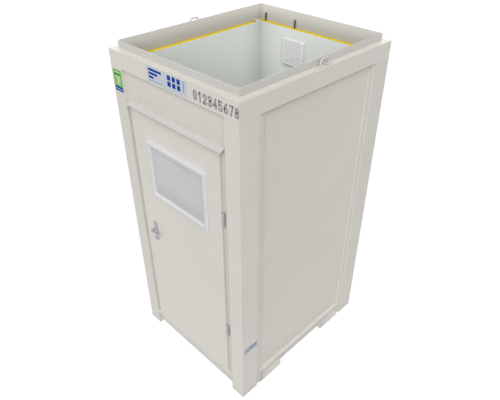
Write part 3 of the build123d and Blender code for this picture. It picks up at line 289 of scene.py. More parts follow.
def safetyVinyl():
    # Sheet vinyl flooring: grey, with light and dark chips pressed in and a fine non-slip grit
    sheet = {"base": "#8F9498", "lightChip": "#C4C8CA", "darkChip": "#5E6468", "chipMm": 5, "lightFrom": 0.8,
             "darkFrom": 0.82, "gritMm": 1.5, "gritBump": {"Strength": 0.25, "Distance": 0.3 * mm}}
    mat, tree, place = newFinish("safety_vinyl", roughness=0.55)
    chips = addNode(tree, "TexVoronoi", {"Scale": perMetre(sheet["chipMm"])}, {"Vector": place})
    pick = addNode(tree, "SeparateColor", links={0: chips.outputs["Color"]})
    isLight = addNode(tree, "Math", {1: sheet["lightFrom"]}, {0: pick.outputs[0]}, operation="GREATER_THAN")
    isDark = addNode(tree, "Math", {1: sheet["darkFrom"]}, {0: pick.outputs[1]}, operation="GREATER_THAN")
    first = addNode(tree, "Mix", between(sheet["lightChip"], sheet["base"]), {0: isLight.outputs[0]},
                    data_type="RGBA")
    second = addNode(tree, "Mix", {7: hexLinear(sheet["darkChip"])},
                     {0: isDark.outputs[0], 6: first.outputs[2]}, data_type="RGBA")
    grit = addNode(tree, "TexNoise", {"Scale": perMetre(sheet["gritMm"]), "Detail": 1.0}, {"Vector": place})
    bump = addNode(tree, "Bump", sheet["gritBump"], {"Height": grit.outputs[0]})
    return feed(mat, base_color=second.outputs[2], normal=bump.outputs[0])


def mouldedPlastic(name, light, dark, rough, grainMm):
    # Moulded or extruded plastic: even colour with a slight flow mottle, and the fine grain of the tool
    mould = {"flowMm": 120, "bump": {"Strength": 0.08, "Distance": 0.2 * mm}}
    mat, tree, place = newFinish(name, roughness=rough)
    flow = addNode(tree, "TexNoise", {"Scale": perMetre(mould["flowMm"]), "Detail": 3.0}, {"Vector": place})
    tone = addNode(tree, "Mix", between(light, dark), {0: flow.outputs[0]}, data_type="RGBA")
    grain = addNode(tree, "TexNoise", {"Scale": perMetre(grainMm), "Detail": 1.0}, {"Vector": place})
    bump = addNode(tree, "Bump", mould["bump"], {"Height": grain.outputs[0]})
    return feed(mat, base_color=tone.outputs[2], normal=bump.outputs[0])


def lampDiffuser():
    # Opal polycarbonate: milky, with fine prism ribs moulded along the lamp
    opal = {"tones": ("#F7F6F1", "#ECEBE5"), "glow": 0.02, "ribMm": 6,
            "ribBump": {"Strength": 0.3, "Distance": 0.6 * mm}}
    mat, tree, place = newFinish("opal_polycarbonate", roughness=0.4, subsurface_weight=0.15,
                                 subsurface_radius=[opal["glow"]] * 3)
    ribs = addNode(tree, "TexWave", {"Scale": wavesPerMetre(opal["ribMm"])}, {"Vector": place},
                   bands_direction="Z")
    tone = addNode(tree, "Mix", between(*opal["tones"]), {0: ribs.outputs[1]}, data_type="RGBA")
    bump = addNode(tree, "Bump", opal["ribBump"], {"Height": ribs.outputs[1]})
    return feed(mat, base_color=tone.outputs[2], normal=bump.outputs[0])


def frostedGlass():
    # Acid-etched float glass: pale grey, lets a blurred light through, with the tooth of the etch,
    # and painted shade along its foot, darker towards the sill
    glass = {"tones": ("#DEDEDE", "#D7D7D8"), "cloudMm": 160, "footShade": 0.8, "footMm": 130,
             "toothMm": 2, "toothBump": {"Strength": 0.15, "Distance": 0.2 * mm}}
    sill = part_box("window_pane")[0].z
    mat, tree, place = newFinish("frosted_glass", roughness=0.5, transmission_weight=0.18, ior=1.52)
    cloud = addNode(tree, "TexNoise", {"Scale": perMetre(glass["cloudMm"]), "Detail": 2.0}, {"Vector": place})
    tone = addNode(tree, "Mix", between(*glass["tones"]), {0: cloud.outputs[0]}, data_type="RGBA")
    height = addNode(tree, "SeparateXYZ", links={0: place})
    # painted shade: darker towards the sill
    foot = addNode(tree, "MapRange", {1: sill, 2: sill + glass["footMm"] * mm, 3: glass["footShade"], 4: 1.0},
                   {0: height.outputs["Z"]})
    toneShadedAtFoot = addNode(tree, "Mix", {0: 1.0}, {6: tone.outputs[2], 7: foot.outputs[0]}, data_type="RGBA",
                    blend_type="MULTIPLY")
    tooth = addNode(tree, "TexNoise", {"Scale": perMetre(glass["toothMm"]), "Detail": 2.0}, {"Vector": place})
    bump = addNode(tree, "Bump", glass["toothBump"], {"Height": tooth.outputs[0]})
    return feed(mat, base_color=toneShadedAtFoot.outputs[2], normal=bump.outputs[0])


def extrudedRubber(name, light, dark):
    # Extruded rubber: matt, with a dusty bloom in blots
    bloomMm = 25
    mat, tree, place = newFinish(name, roughness=0.7)
    bloom = addNode(tree, "TexNoise", {"Scale": perMetre(bloomMm), "Detail": 5.0}, {"Vector": place})
    tone = addNode(tree, "Mix", between(light, dark), {0: bloom.outputs[0]}, data_type="RGBA")
    return feed(mat, base_color=tone.outputs[2])


def vitreousChina():
    # Glazed sanitary ceramic: bright white glass coat over clay, with the slow ripple of the glaze
    china = {"tones": ("#F6F6F3", "#EFEFEB"), "rippleMm": 60,
             "rippleBump": {"Strength": 0.05, "Distance": 1.5 * mm}}
    mat, tree, place = newFinish("vitreous_china", roughness=0.16, coat_weight=0.6, coat_roughness=0.05)
    ripple = addNode(tree, "TexNoise", {"Scale": perMetre(china["rippleMm"]), "Detail": 2.0},
                     {"Vector": place})
    tone = addNode(tree, "Mix", between(*china["tones"]), {0: ripple.outputs[0]}, data_type="RGBA")
    bump = addNode(tree, "Bump", china["rippleBump"], {"Height": ripple.outputs[0]})
    return feed(mat, base_color=tone.outputs[2], normal=bump.outputs[0])


def tissuePaper():
    # Wound two-ply tissue: soft white, embossed with small dots, its layers showing as rings on the ends
    tissue = {"tones": ("#F5F4F0", "#DEDCD5"), "layerMm": 1.6, "dotMm": 5,
              "dotBump": {"Strength": 0.3, "Distance": 0.5 * mm}}
    low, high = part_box("paper_roll")
    centre = (low + high) / 2
    mat, tree, place = newFinish("tissue_paper", roughness=0.9, sheen_weight=0.2)
    moved = addNode(tree, "Mapping", {"Location": (-centre.x, 0, -centre.z), "Scale": (1, 0, 1)},
                    {"Vector": place})
    rings = addNode(tree, "TexWave", {"Scale": wavesPerMetre(tissue["layerMm"]), "Distortion": 0.6},
                    {"Vector": moved.outputs[0]}, wave_type="RINGS", rings_direction="Y")
    tone = addNode(tree, "Mix", between(*tissue["tones"]), {0: rings.outputs[1]}, data_type="RGBA")
    dots = addNode(tree, "TexVoronoi", {"Scale": perMetre(tissue["dotMm"]), "Randomness": 0.2},
                   {"Vector": place})
    bump = addNode(tree, "Bump", tissue["dotBump"], {"Height": dots.outputs[0]})
    return feed(mat, base_color=tone.outputs[2], normal=bump.outputs[0])


def printedFilm(name, light, dark):
    # Printed vinyl film on the signs: a plain ink with slight fading and a dull gloss
    fadeMm = 60
    mat, tree, place = newFinish(name, roughness=0.6, specular_ior_level=0.1)
    fade = addNode(tree, "TexNoise", {"Scale": perMetre(fadeMm), "Detail": 4.0}, {"Vector": place})
    tone = addNode(tree, "Mix", between(light, dark), {0: fade.outputs[0]}, data_type="RGBA")
    return feed(mat, base_color=tone.outputs[2])


upAxis = 2
finish = {
    "painted_steel": paintedSteel("painted_steel_cream", "#DDDAD3", "#D5D2CA", nookShade=0.82),
    "coated_sheet": coatedSheet(),
    "galvanised_steel": galvanisedSteel(),
    "hinge_steel": brushedMetal("zinc_plated_steel", "#B7B8BB", "#A9AAAD", rough=(0.5, 0.65), grainMm=0.8,
                                along=upAxis, bare=0.4),
    "handle_metal": brushedMetal("satin_aluminium", "#BFC0C2", "#A9AAAD", rough=(0.28, 0.4), grainMm=0.6,
                                 along=upAxis),
    "chromed_brass": chromedBrass(),
    "mineral_wool": mineralWool("glass_wool_yellow", "#F2D400", "#DDB900"),
    "wood_board": chipboard(),
    "vinyl": safetyVinyl(),
    "white_plastic": mouldedPlastic("moulded_abs_white", "#E6E6E5", "#DFDFDF", rough=0.46, grainMm=1.5),
    "window_plastic": mouldedPlastic("extruded_pvc_white", "#D9D9DA", "#D1D1D3", rough=0.4, grainMm=3.0),
    "lamp_plastic": lampDiffuser(),
    "grey_plastic": mouldedPlastic("pipe_polypropylene", "#A9ABAD", "#9C9EA1", rough=0.45, grainMm=2.0),
    "blue_plastic": mouldedPlastic("socket_polyamide_blue", "#2A5DB4", "#1F4C9C", rough=0.42, grainMm=1.5),
    "frosted_glass": frostedGlass(),
    "seal_rubber": extrudedRubber("door_seal_rubber", "#3A3A3A", "#1E1E1E"),
    "cable_rubber": extrudedRubber("cable_sheath_rubber", "#3C3C3C", "#242424"),
    "sanitary_ceramic": vitreousChina(),
    "tissue_paper": tissuePaper(),
}
# Copies of the cream paint, toned lighter or darker as painted light and shade for how the light falls
# on each part: light and dark tone, nook shade, and where a darker band lies its foot in metres and its share
shaded = {
    "faintShade": ("#DDDAD3", "#D5D2CA", 0.95),               # little painted shade in its nooks
    "recessShade": ("#D1CEC6", "#C9C6BE", 0.95),                # darker: painted shade for the door frame's recess
    # drip rail, base rails and posts: darker copies, painted shade where the light falls on them brightly
    "drip": ("#C8C6C1", "#C1BFBA", 0.95),
    "rail": ("#D7D5D0", "#CFCDC8", 0.9),
    "post": ("#D8D5CE", "#D0CDC5", 0.94),
    "shadeOverDrip": ("#DAD7D0", "#D2CFC7", 0.92, 2.16, 0.55),   # painted shade in a band just above the drip rail
    "sheet": ("#DAD7CF", "#D2CFC6", 0.97, 0.14, 0.4),       # a darker band just above the base ledge
}
paintOf = {
    "door_leaf": "faintShade", "lifting_eyes": "faintShade", "door_frame": "recessShade", "drip_rail": "drip",
    "transom_cladding": "shadeOverDrip", "corner_post_front_left": "post", "corner_post_rear_right": "post",
    **{f"wall_cladding_{hand}": "sheet" for hand in ("rear", "left", "right")},
    **{f"base_rail_{hand}": "rail" for hand in ("front", "rear", "left", "right")},
}
paints = {kind: paintedSteel(f"painted_steel_{kind}", *tones) for kind, tones in shaded.items()}
slotOf = {part["node"]: part["material_slot"] for part in frame["record"]["subparts"]}
for name, node in nodes.items():
    node.data.materials.clear()
    node.data.materials.append(paints[paintOf[name]] if name in paintOf else finish[slotOf[name]])
print("finishes:", len(finish), "and", len(paints), "weathered paints")


# Floor, background and light


stage = {
    "floorHalf": 40.0, "drop": 0.3 * mm, "floorTone": "#848484", "ownWhite": 0.8, "ambient": 0.5,
    "lamps": [                         # name, way to the lamp, level, width in degrees
        ("key_softbox", (0.5, -0.635, 0.605), 0.8, 55),
        ("back_softbox", (-0.66, 0.73, 0.15), 0.36, 60),
    ],
}


def seenRay(tree):
    # 1 where the camera, a reflection or clear glass looks at the surface, 0 for light that bounces off it
    rays = addNode(tree, "LightPath").outputs
    first = addNode(tree, "Math", links={0: rays["Is Camera Ray"], 1: rays["Is Glossy Ray"]},
                    operation="MAXIMUM")
    return addNode(tree, "Math", links={0: first.outputs[0], 1: rays["Is Transmission Ray"]},
                   operation="MAXIMUM").outputs[0]


def makeFloor():
    # a flat sheet: its own colour takes the shadow, and a plain white on top of it fills the background
    half = stage["floorHalf"]
    corners = np.array([[-1, -1, 0], [1, -1, 0], [1, 1, 0], [-1, 1, 0]]) * half - [0, 0, stage["drop"]]
    mesh = bpy.data.meshes.new("floor")
    mesh.from_pydata(corners.tolist(), [], [[0, 1, 2, 3]])
    mat = bpy.data.materials.new("pale_floor")
    mat.use_nodes = True
    tree = mat.node_tree
    tree.nodes.remove(tree.nodes["Principled BSDF"])
    base = addNode(tree, "BsdfDiffuse", {"Color": hexLinear(stage["floorTone"])})
    share = addNode(tree, "Math", {1: stage["ownWhite"]}, {0: seenRay(tree)}, operation="MULTIPLY")
    white = addNode(tree, "Emission", links={"Strength": share.outputs[0]})
    both = addNode(tree, "AddShader", links={0: base.outputs[0], 1: white.outputs[0]})
    tree.links.new(both.outputs[0], tree.nodes["Material Output"].inputs["Surface"])
    mesh.materials.append(mat)
    floor = bpy.data.objects.new("floor", mesh)
    bpy.context.scene.collection.objects.link(floor)


def makeWorld():
    world = bpy.data.worlds.new("studio")
    bpy.context.scene.world = world
    world.use_nodes = True
    tree = world.node_tree
    sky = tree.nodes["Background"]
    level = addNode(tree, "MapRange", {3: stage["ambient"], 4: 1.0}, {0: seenRay(tree)})
    sky.inputs["Color"].default_value = (1, 1, 1, 1)
    tree.links.new(level.outputs[0], sky.inputs["Strength"])


def makeLamp(name, toLamp, level, spread):
    # a far, wide soft lamp: level 1 lights a facing white surface to white, spread is its width in degrees
    light = bpy.data.lights.new(name, "SUN")
    light.energy = level * math.pi
    light.angle = math.radians(spread)
    lamp = bpy.data.objects.new(name, light)
    lamp.rotation_mode = "QUATERNION"
    lamp.rotation_quaternion = Vector(toLamp).to_track_quat("Z", "Y")
    bpy.context.scene.collection.objects.link(lamp)


makeFloor()
makeWorld()
for lampValues in stage["lamps"]:
    makeLamp(*lampValues)
print("stage and light set")


# Mesh helpers


def closedSkin(rings, loop=False):
    # quads between neighbouring rings of points; the last ring meets the first one,
    # or both get a flat cap
    count, around = rings.shape[:2]
    ring, spot = np.meshgrid(np.arange(count if loop else count - 1), np.arange(around), indexing="ij")
    beside, after = (spot + 1) % around, (ring + 1) % count
    quads = np.stack([ring * around + spot, ring * around + beside,
                      after * around + beside, after * around + spot], -1)
    corners, sizes = quads.ravel(), np.full(ring.size, 4)
    if not loop:
        first = np.arange(around)
        corners = np.concatenate([corners, first[::-1], first + (count - 1) * around])
        sizes = np.concatenate([sizes, [around, around]])
    return rings.reshape(-1, 3), corners, sizes


def makePiece(name, parts, body, slot, material=None, sharpAngle=35):
    # joins closed skins into one mesh at the origin, turned outwards, and hangs it on a body;
    # it has its slot's finish, unless it is given its own
    starts = np.cumsum([0] + [len(part[0]) for part in parts])
    points = np.concatenate([part[0] for part in parts])
    corners = np.concatenate([part[1] + start for part, start in zip(parts, starts)])
    sizes = np.concatenate([part[2] for part in parts])
    mesh = bpy.data.meshes.new(name)
    mesh.vertices.add(len(points))
    mesh.vertices.foreach_set("co", points.ravel())
    mesh.loops.add(len(corners))
    mesh.loops.foreach_set("vertex_index", corners)
    mesh.polygons.add(len(sizes))
    mesh.polygons.foreach_set("loop_start", np.cumsum(sizes) - sizes)
    mesh.update(calc_edges=True)
    shell = bmesh.new()
    shell.from_mesh(mesh)
    bmesh.ops.recalc_face_normals(shell, faces=shell.faces)
    shell.to_mesh(mesh)
    shell.free()
    mesh.shade_smooth()
    mesh.set_sharp_from_angle(angle=math.radians(sharpAngle))
    mesh.materials.append(material or finish[slot])
    piece = bpy.data.objects.new(name, mesh)
    bpy.context.scene.collection.objects.link(piece)
    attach(piece, body)
    return piece


def onFace(face, across, up, out):
    # points on an upright or level face: across and up it from its origin, and out from it, all in mm
    across, up, out = np.broadcast_arrays(across, up, out)
    axes = np.array([face["across"], face["up"], np.cross(face["across"], face["up"])])
    return (np.stack([across, up, out], -1) @ axes + face["origin"]) * mm


def roundBox(width, height, radius, steps=6):
    # outline of a box with round corners, anticlockwise: four quarter arcs round the corner centres
    turn = np.linspace(0, math.pi / 2, steps)[None, :] + np.arange(4)[:, None] * math.pi / 2
    sideX = np.array([1, -1, -1, 1])[:, None] * (width / 2 - radius)
    sideY = np.array([1, 1, -1, -1])[:, None] * (height / 2 - radius)
    return np.stack([sideX + radius * np.cos(turn), sideY + radius * np.sin(turn)], -1).reshape(-1, 2)


def plate(face, middle, size, radius, low, high, edge=0.0, arc=5):
    # a flat plate from level low to level high: its outline goes up, then in over a quarter-round edge
    turn = np.linspace(0, math.pi / 2, arc) if edge else np.zeros(1)
    inset = np.concatenate([[0.0], edge * (1 - np.cos(turn))])
    level = np.concatenate([[low], high - edge + edge * np.sin(turn)])
    outline = roundBox(size[0], size[1], radius)
    shrink = 1 - 2 * inset[:, None, None] / np.array(size)
    flat = outline[None] * shrink + np.array(middle)
    return closedSkin(onFace(face, flat[..., 0], flat[..., 1], level[:, None]))


def turned(face, middle, profile, around=28):
    # a turned shape: its profile, radius against height, carried round an axis that stands on the face
    turn = np.linspace(0, 2 * math.pi, around, endpoint=False)
    radius, out = np.array(profile).T[:, :, None]
    return closedSkin(onFace(face, middle[0] + radius * np.cos(turn), middle[1] + radius * np.sin(turn), out))


def rounded(points, loop, cuts=3):
    # corner cutting: every run keeps its points at one quarter and three quarters; open ends stay
    points = np.array(points, float)
    for cut in range(cuts):
        before, after = (points, np.roll(points, -1, 0)) if loop else (points[:-1], points[1:])
        inner = np.stack([0.75 * before + 0.25 * after, 0.25 * before + 0.75 * after], 1).reshape(-1, 2)
        points = inner if loop else np.concatenate([points[:1], inner, points[-1:]])
    return points


def ribbon(face, path, width, low, high, loop=False):
    # a flat strip: its width, square to the path at every point, carried along the path;
    # an open strip runs on by half its width at both ends
    if loop:
        step = np.roll(path, -1, 0) - np.roll(path, 1, 0)
    else:
        step = np.gradient(path, axis=0)
    step = step / np.linalg.norm(step, axis=1, keepdims=True)
    if not loop:
        path = np.concatenate([path[:1] - step[:1] * width / 2, path, path[-1:] + step[-1:] * width / 2])
        step = np.concatenate([step[:1], step, step[-1:]])
    side = np.stack([-step[:, 1], step[:, 0]], -1) * width / 2
    across = np.stack([path + side, path + side, path - side, path - side], 1)
    return closedSkin(onFace(face, across[..., 0], across[..., 1], np.array([low, high, high, low])), loop)


def bead(start, end, sideWay, outWay, profile, ripple=0.0, rippleMm=9.0):
    # a straight bead: its profile, sideways against outwards, carried from start to end, all in mm,
    # and swelling by a sine ripple on the way
    start, end = np.array(start, float), np.array(end, float)
    length = np.linalg.norm(end - start)
    steps = max(2, int(4 * length / rippleMm)) if ripple else 2      # four to a ripple
    share = np.linspace(0, 1, steps)
    swell = 1 + ripple * np.sin(share * length * 2 * math.pi / rippleMm)
    line = start + share[:, None] * (end - start)
    shape = np.array(profile) @ np.array([sideWay, outWay], float)
    return closedSkin((line[:, None] + swell[:, None, None] * shape[None]) * mm)


postLow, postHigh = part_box("corner_post_front_left")[0] / mm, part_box("corner_post_rear_right")[1] / mm
ventLow, ventHigh = (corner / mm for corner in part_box("vent_cover"))
ventMiddle = (ventLow + ventHigh) / 2
front = {"across": (1, 0, 0), "up": (0, 0, 1), "origin": (0, postLow.y, 0)}
rear = {"across": (-1, 0, 0), "up": (0, 0, 1), "origin": (0, postHigh.y, 0)}
rightSide = {"across": (0, 1, 0), "up": (0, 0, 1), "origin": (postHigh.x, 0, 0)}
doorFace = {"across": (1, 0, 0), "up": (0, 0, 1), "origin": (0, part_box("door_leaf")[0].y / mm, 0)}
ventWall = {"across": (1, 0, 0), "up": (0, 0, 1), "origin": (ventMiddle.x, ventHigh.y, ventMiddle.z)}
basinFloor = {"across": (1, 0, 0), "up": (0, 1, 0), "origin": (381.5, -290, 888)}    # over the waste


# Glass wool boards in the walls, the roof edge and the floor

wool = {
    "ruffle": 0.5,                     # deepest dent, mm
    "stripStep": 5.0, "boardStep": 45.0,
    "longestWave": 70.0, "shortestWave": 9.0, "waves": 26, "calm": 2.2, "seed": 7,
    "cornerRound": 2.5, "cornerDent": 0.2, "sharpAngle": 80,
}
woolBoards = {                         # low and high corners, mm
    "strip": [((515, -650, 2378), (550, 650, 2420)), ((-550, -650, 2378), (-515, 650, 2420)),
              ((-514.5, 615, 2378), (514.5, 650, 2420)), ((-514.5, -650, 2378), (514.5, -615, 2420))],
    "board": [((515, -650, 138), (574, 650, 2377.5)), ((-574, -650, 138), (-515, 650, 2377.5)),
              ((-480, -681, 2180), (480, -615, 2377.5)), ((-480, 615, 138), (480, 681, 274.5)),
              ((-480, 615, 386), (480, 681, 2186.5)), ((-480, 615, 2310), (480, 681, 2377.5)),
              ((-480, 615, 275), (-155.5, 681, 385.5)), ((-44.5, 615, 275), (288.9, 681, 385.5)),
              ((311.2, 615, 275), (480, 681, 385.5)), ((-480, 615, 2187), (-225, 681, 2309.5)),
              ((-102, 615, 2187), (480, 681, 2309.5)), ((-558.5, -658.5, 44), (558.5, -340, 133.5)),
              ((-558.5, -289, 44), (558.5, -25.5, 133.5)), ((-558.5, 25.5, 44), (558.5, 289, 133.5)),
              ((-558.5, 340, 44), (558.5, 658.5, 133.5))],
}


def fluff(points):
    # height of the matted surface, 0 to 1: a sum of many sine waves, each with its own direction and length
    draw = np.random.default_rng(wool["seed"])
    heading = draw.normal(size=(wool["waves"], 3))
    heading /= np.linalg.norm(heading, axis=1, keepdims=True)
    ends = np.log([wool["shortestWave"], wool["longestWave"]])
    length = np.exp(draw.uniform(ends[0], ends[1], wool["waves"]))
    phase = draw.uniform(0, 2 * math.pi, wool["waves"])
    total = np.zeros(points.shape[:-1])
    for wave in range(wool["waves"]):
        total += np.sin(points @ (heading[wave] * 2 * math.pi / length[wave]) + phase[wave])
    return np.clip(0.5 + total / (wool["calm"] * math.sqrt(wool["waves"])), 0, 1)


def woolBoard(low, high, step):
    # a box-shaped board: its rectangle, dented inwards by the fluff, is carried along its longest side,
    # and closes in by the corner round at both ends
    low, high = np.array(low), np.array(high)
    span = high - low
    along = int(np.argmax(span))
    first, second = (along + 1) % 3, (along + 2) % 3
    half = np.array([span[first], span[second]]) / 2
    edge = [np.linspace(-1, 1, max(2, int(2 * h / step) + 1))[:-1] for h in half]
    one = [np.ones_like(e) for e in edge]
    outline = np.concatenate([np.stack([edge[0], -one[0]], 1), np.stack([one[1], edge[1]], 1),
                              np.stack([-edge[0], one[0]], 1), np.stack([-one[1], -edge[1]], 1)])
    soft = wool["cornerRound"]
    run = np.linspace(low[along] + soft, high[along] - soft, max(3, int(span[along] / step)))
    run = np.concatenate([[low[along]], run, [high[along]]])
    inset = np.where((run == low[along]) | (run == high[along]), soft, 0.0)
    rings = np.empty((len(run), len(outline), 3))
    rings[..., along] = run[:, None]
    rings[..., first] = outline[:, 0]
    rings[..., second] = outline[:, 1]
    place = rings.copy()
    place[..., first] *= half[0]
    place[..., second] *= half[1]
    dent = wool["ruffle"] * fluff(place + (low + high) / 2) + inset[:, None]
    corner = np.minimum(*((np.abs(outline) - 1) * half).T)
    dent = dent + wool["cornerDent"] * np.clip(1 + corner / soft, 0, 1)
    for axis, reach in ((first, half[0]), (second, half[1])):
        middle = (low[axis] + high[axis]) / 2
        rings[..., axis] = middle + rings[..., axis] * (reach - dent)
    return closedSkin(rings * mm)


woolParts = [woolBoard(low, high, wool[kind + "Step"]) for kind, boards in woolBoards.items()
             for low, high in boards]
woolPiece = makePiece("wool_boards", woolParts, "cabin", "mineral_wool", sharpAngle=wool["sharpAngle"])
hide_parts("insulation")
print("wool boards:", len(woolParts))


# Signs: plain printed film with generic blocks, and a row of plain figures

film = {
    "panelLow": 0.0, "panelHigh": 0.35, "inkHigh": 0.5, "topInkHigh": 0.65,    # layer over layer, mm
    "corner": 3.0, "inkCorner": 1.5,
}
signs = {                              # on each face: middle and size of the panel, then of each patch, mm
    "front_sign": {
        "face": front, "panel": ("pale", (-5, 2436), (376, 100)),
        "patches": [("blue", (-112, 2466), (126, 15)), ("blue", (-132, 2443), (86, 15)),
                    ("blue", (-152, 2420), (46, 15)),
                    *[("blue", (x, z), (30, 30)) for x in (22, 66, 110) for z in (2462, 2424)],
                    ("sky", (154, 2443), (9, 68)), ("sky", (-112, 2400), (126, 5))],
    },
    "post_sign": {
        "face": front, "panel": ("green", (-540.5, 2288), (92, 146)),
        "patches": [("white", (-540.5, 2346), (66, 7)), ("teal", (-540.5, 2333), (74, 9)),
                    ("mint", (-540.5, 2290), (60, 62)), ("blue", (-540.5, 2231), (92, 32))],
        "onTop": [("white", (-540.5, 2230), (78, 4)), ("sky", (-523, 2274), (18, 18)),
                  ("green", (-556, 2290), (11, 42))],
    },
    "side_sign": {
        "face": rightSide, "panel": ("mist", (-614, 523), (128, 54)),
        "patches": [("steelBlue", (-594, 537), (80, 10)), ("haze", (-650, 526), (26, 20))],
    },
}
inkTones = {
    "pale": ("film_pale_grey", "#CDD2D6", "#C5CACE"),
    "blue": ("film_blue", "#0B41A8", "#07389A"),
    "sky": ("film_sky_blue", "#6BAFDC", "#5DA0D0"),
    "green": ("film_green", "#6CBB2A", "#5CAA1E"),
    "teal": ("film_teal", "#3E8E6E", "#347E62"),
    "mint": ("film_mint", "#CFDDB6", "#C2D2A8"),
    "white": ("film_white", "#E9EAE6", "#DFE0DC"),
    "mist": ("film_mist", "#B9BDBF", "#B1B5B7"),
    "haze": ("film_haze", "#A3AFB8", "#99A6B0"),
    "steelBlue": ("film_steel_blue", "#1478B8", "#0F6DAC"),
    "figureEdge": ("film_dark_grey", "#74747A", "#6A6A70"),
    "figureFill": ("film_mid_grey", "#B0B0AE", "#A7A7A5"),
}
inks = {ink: printedFilm(*tones) for ink, tones in inkTones.items()}
inkSlot = {"blue": "blue_plastic", "sky": "blue_plastic", "steelBlue": "blue_plastic"}


def makeSign(name, sign):
    # the panel and each ink's patches, layer over layer
    ink, middle, span = sign["panel"]
    layers = {ink: [plate(sign["face"], middle, span, film["corner"], film["panelLow"], film["panelHigh"])]}
    for rows, low, high in (("patches", film["panelHigh"], film["inkHigh"]),
                            ("onTop", film["inkHigh"], film["topInkHigh"])):
        for ink, middle, span in sign.get(rows, []):
            corner = min(film["inkCorner"], min(span) / 4)
            layers.setdefault(ink, []).append(plate(sign["face"], middle, span, corner, low, high))
    for ink, parts in layers.items():
        makePiece(f"{name}_{ink}", parts, "cabin", inkSlot.get(ink, "white_plastic"), inks[ink])


for name, sign in signs.items():
    makeSign(name, sign)

figures = {
    "row": "012345678", "first": 252.0, "pitch": 41.4, "middle": 2429.0, "size": (21.0, 50.0),
    "edgeWidth": 11.5, "fillWidth": 6.0, "low": 0.0, "edgeHigh": 0.3, "fillHigh": 0.5,
}
strokes = {                            # pen paths in a unit box; a path that ends where it starts is a loop
    "0": [[(0, 0), (1, 0), (1, 1), (0, 1), (0, 0)]],
    "1": [[(0.05, 0.78), (0.55, 1)], [(0.55, 1), (0.55, 0)]],
    "2": [[(0, 0.72), (0, 1), (1, 1), (1, 0.58), (0, 0.1), (0, 0)], [(0, 0), (1, 0)]],
    "3": [[(0, 0.82), (0, 1), (1, 1), (1, 0.53), (0.35, 0.53)],
          [(0.35, 0.53), (1, 0.53), (1, 0), (0, 0), (0, 0.18)]],
    "4": [[(0.72, 1), (0, 0.3)], [(0, 0.3), (1, 0.3)], [(0.72, 0.5), (0.72, 0)]],
    "5": [[(0.95, 1), (0.05, 1)], [(0.05, 1), (0.05, 0.58)],
          [(0.05, 0.58), (1, 0.66), (1, 0), (0, 0), (0, 0.16)]],
    "6": [[(0.8, 1), (0.05, 0.66), (0, 0.3)], [(0, 0), (1, 0), (1, 0.58), (0, 0.58), (0, 0)]],
    "7": [[(0, 1), (1, 1)], [(1, 1), (0.35, 0)]],
    "8": [[(0.08, 0.54), (0.92, 0.54), (0.92, 1), (0.08, 1), (0.08, 0.54)],
          [(0, 0), (1, 0), (1, 0.54), (0, 0.54), (0, 0)]],
}


def figureRibbons(width, low, high):
    # every stroke of the row as a ribbon of that width
    parts = []
    for place, digit in enumerate(figures["row"]):
        middle = np.array([figures["first"] + place * figures["pitch"], figures["middle"]])
        for stroke in strokes[digit]:
            loop = stroke[0] == stroke[-1]
            path = rounded(stroke[:-1] if loop else stroke, loop)
            path = middle + (path - 0.5) * np.array(figures["size"])
            parts.append(ribbon(front, path, width, low, high, loop))
    return parts


makePiece("figures_edge", figureRibbons(figures["edgeWidth"], figures["low"], figures["edgeHigh"]),
          "cabin", "white_plastic", inks["figureEdge"])
makePiece("figures_fill", figureRibbons(figures["fillWidth"], figures["edgeHigh"], figures["fillHigh"]),
          "cabin", "white_plastic", inks["figureFill"])
print("signs:", len(signs), "and", len(figures["row"]), "figures")


# Door fittings: plate screws, key slot and the pane's gasket

doorFittings = {                       # places across and up the door, sizes and levels over its face, mm
    "screwAt": [(-344, 1216), (-344, 1104)], "screwRadius": 4.2, "plateFace": 8.0, "screwProud": 1.2,
    "slotAt": (-344, 1077), "slotSize": (2.4, 9.0), "slotRound": 1.1, "cylinderFace": 11.0, "slotProud": 0.15,
    "sunk": (0.1, 0.2),                # screws and slot reach into what carries them
    "sightMiddle": (6.5, 1723.5), "sight": (525, 377), "sightRound": 3.0,
    "gasketWidth": 3.0, "gasketHigh": 2.0, "gasketTones": ("#BDBEC0", "#B2B3B5"),
    "screwFacets": 20, "gasketArc": 4,
}
# a pan head in shares of its radius and height: straight rim, domed top, shallow dip for the driver
panHead = [(1, 0), (1, 0.4), (0.85, 0.85), (0.5, 1), (0.42, 0.5), (0.1, 0.5)]
screwSunk, slotSunk = doorFittings["sunk"]
screwProfile = [(wide * doorFittings["screwRadius"],
                 doorFittings["plateFace"] - screwSunk + high * doorFittings["screwProud"])
                for wide, high in panHead]
heads = [turned(doorFace, spot, screwProfile, doorFittings["screwFacets"])
         for spot in doorFittings["screwAt"]]
makePiece("handle_screws", heads, "door", "handle_metal")
# the key slot is a dark plate on the cylinder: painted shade standing in for the open keyway
slotLow = doorFittings["cylinderFace"] - slotSunk
slotHigh = doorFittings["cylinderFace"] + doorFittings["slotProud"]
keySlot = plate(doorFace, doorFittings["slotAt"], doorFittings["slotSize"], doorFittings["slotRound"],
                slotLow, slotHigh)
makePiece("key_slot", [keySlot], "door", "seal_rubber")
gasketSpan = np.array(doorFittings["sight"]) - doorFittings["gasketWidth"]
gasketPath = roundBox(*gasketSpan, doorFittings["sightRound"], doorFittings["gasketArc"])
gasketPath += doorFittings["sightMiddle"]
gasket = ribbon(doorFace, gasketPath, doorFittings["gasketWidth"], 0.0, doorFittings["gasketHigh"], True)
makePiece("window_gasket", [gasket], "door", "seal_rubber",
          extrudedRubber("glazing_rubber_grey", *doorFittings["gasketTones"]))
print("door fittings set")


# Ventilator: filter mat behind the louvres

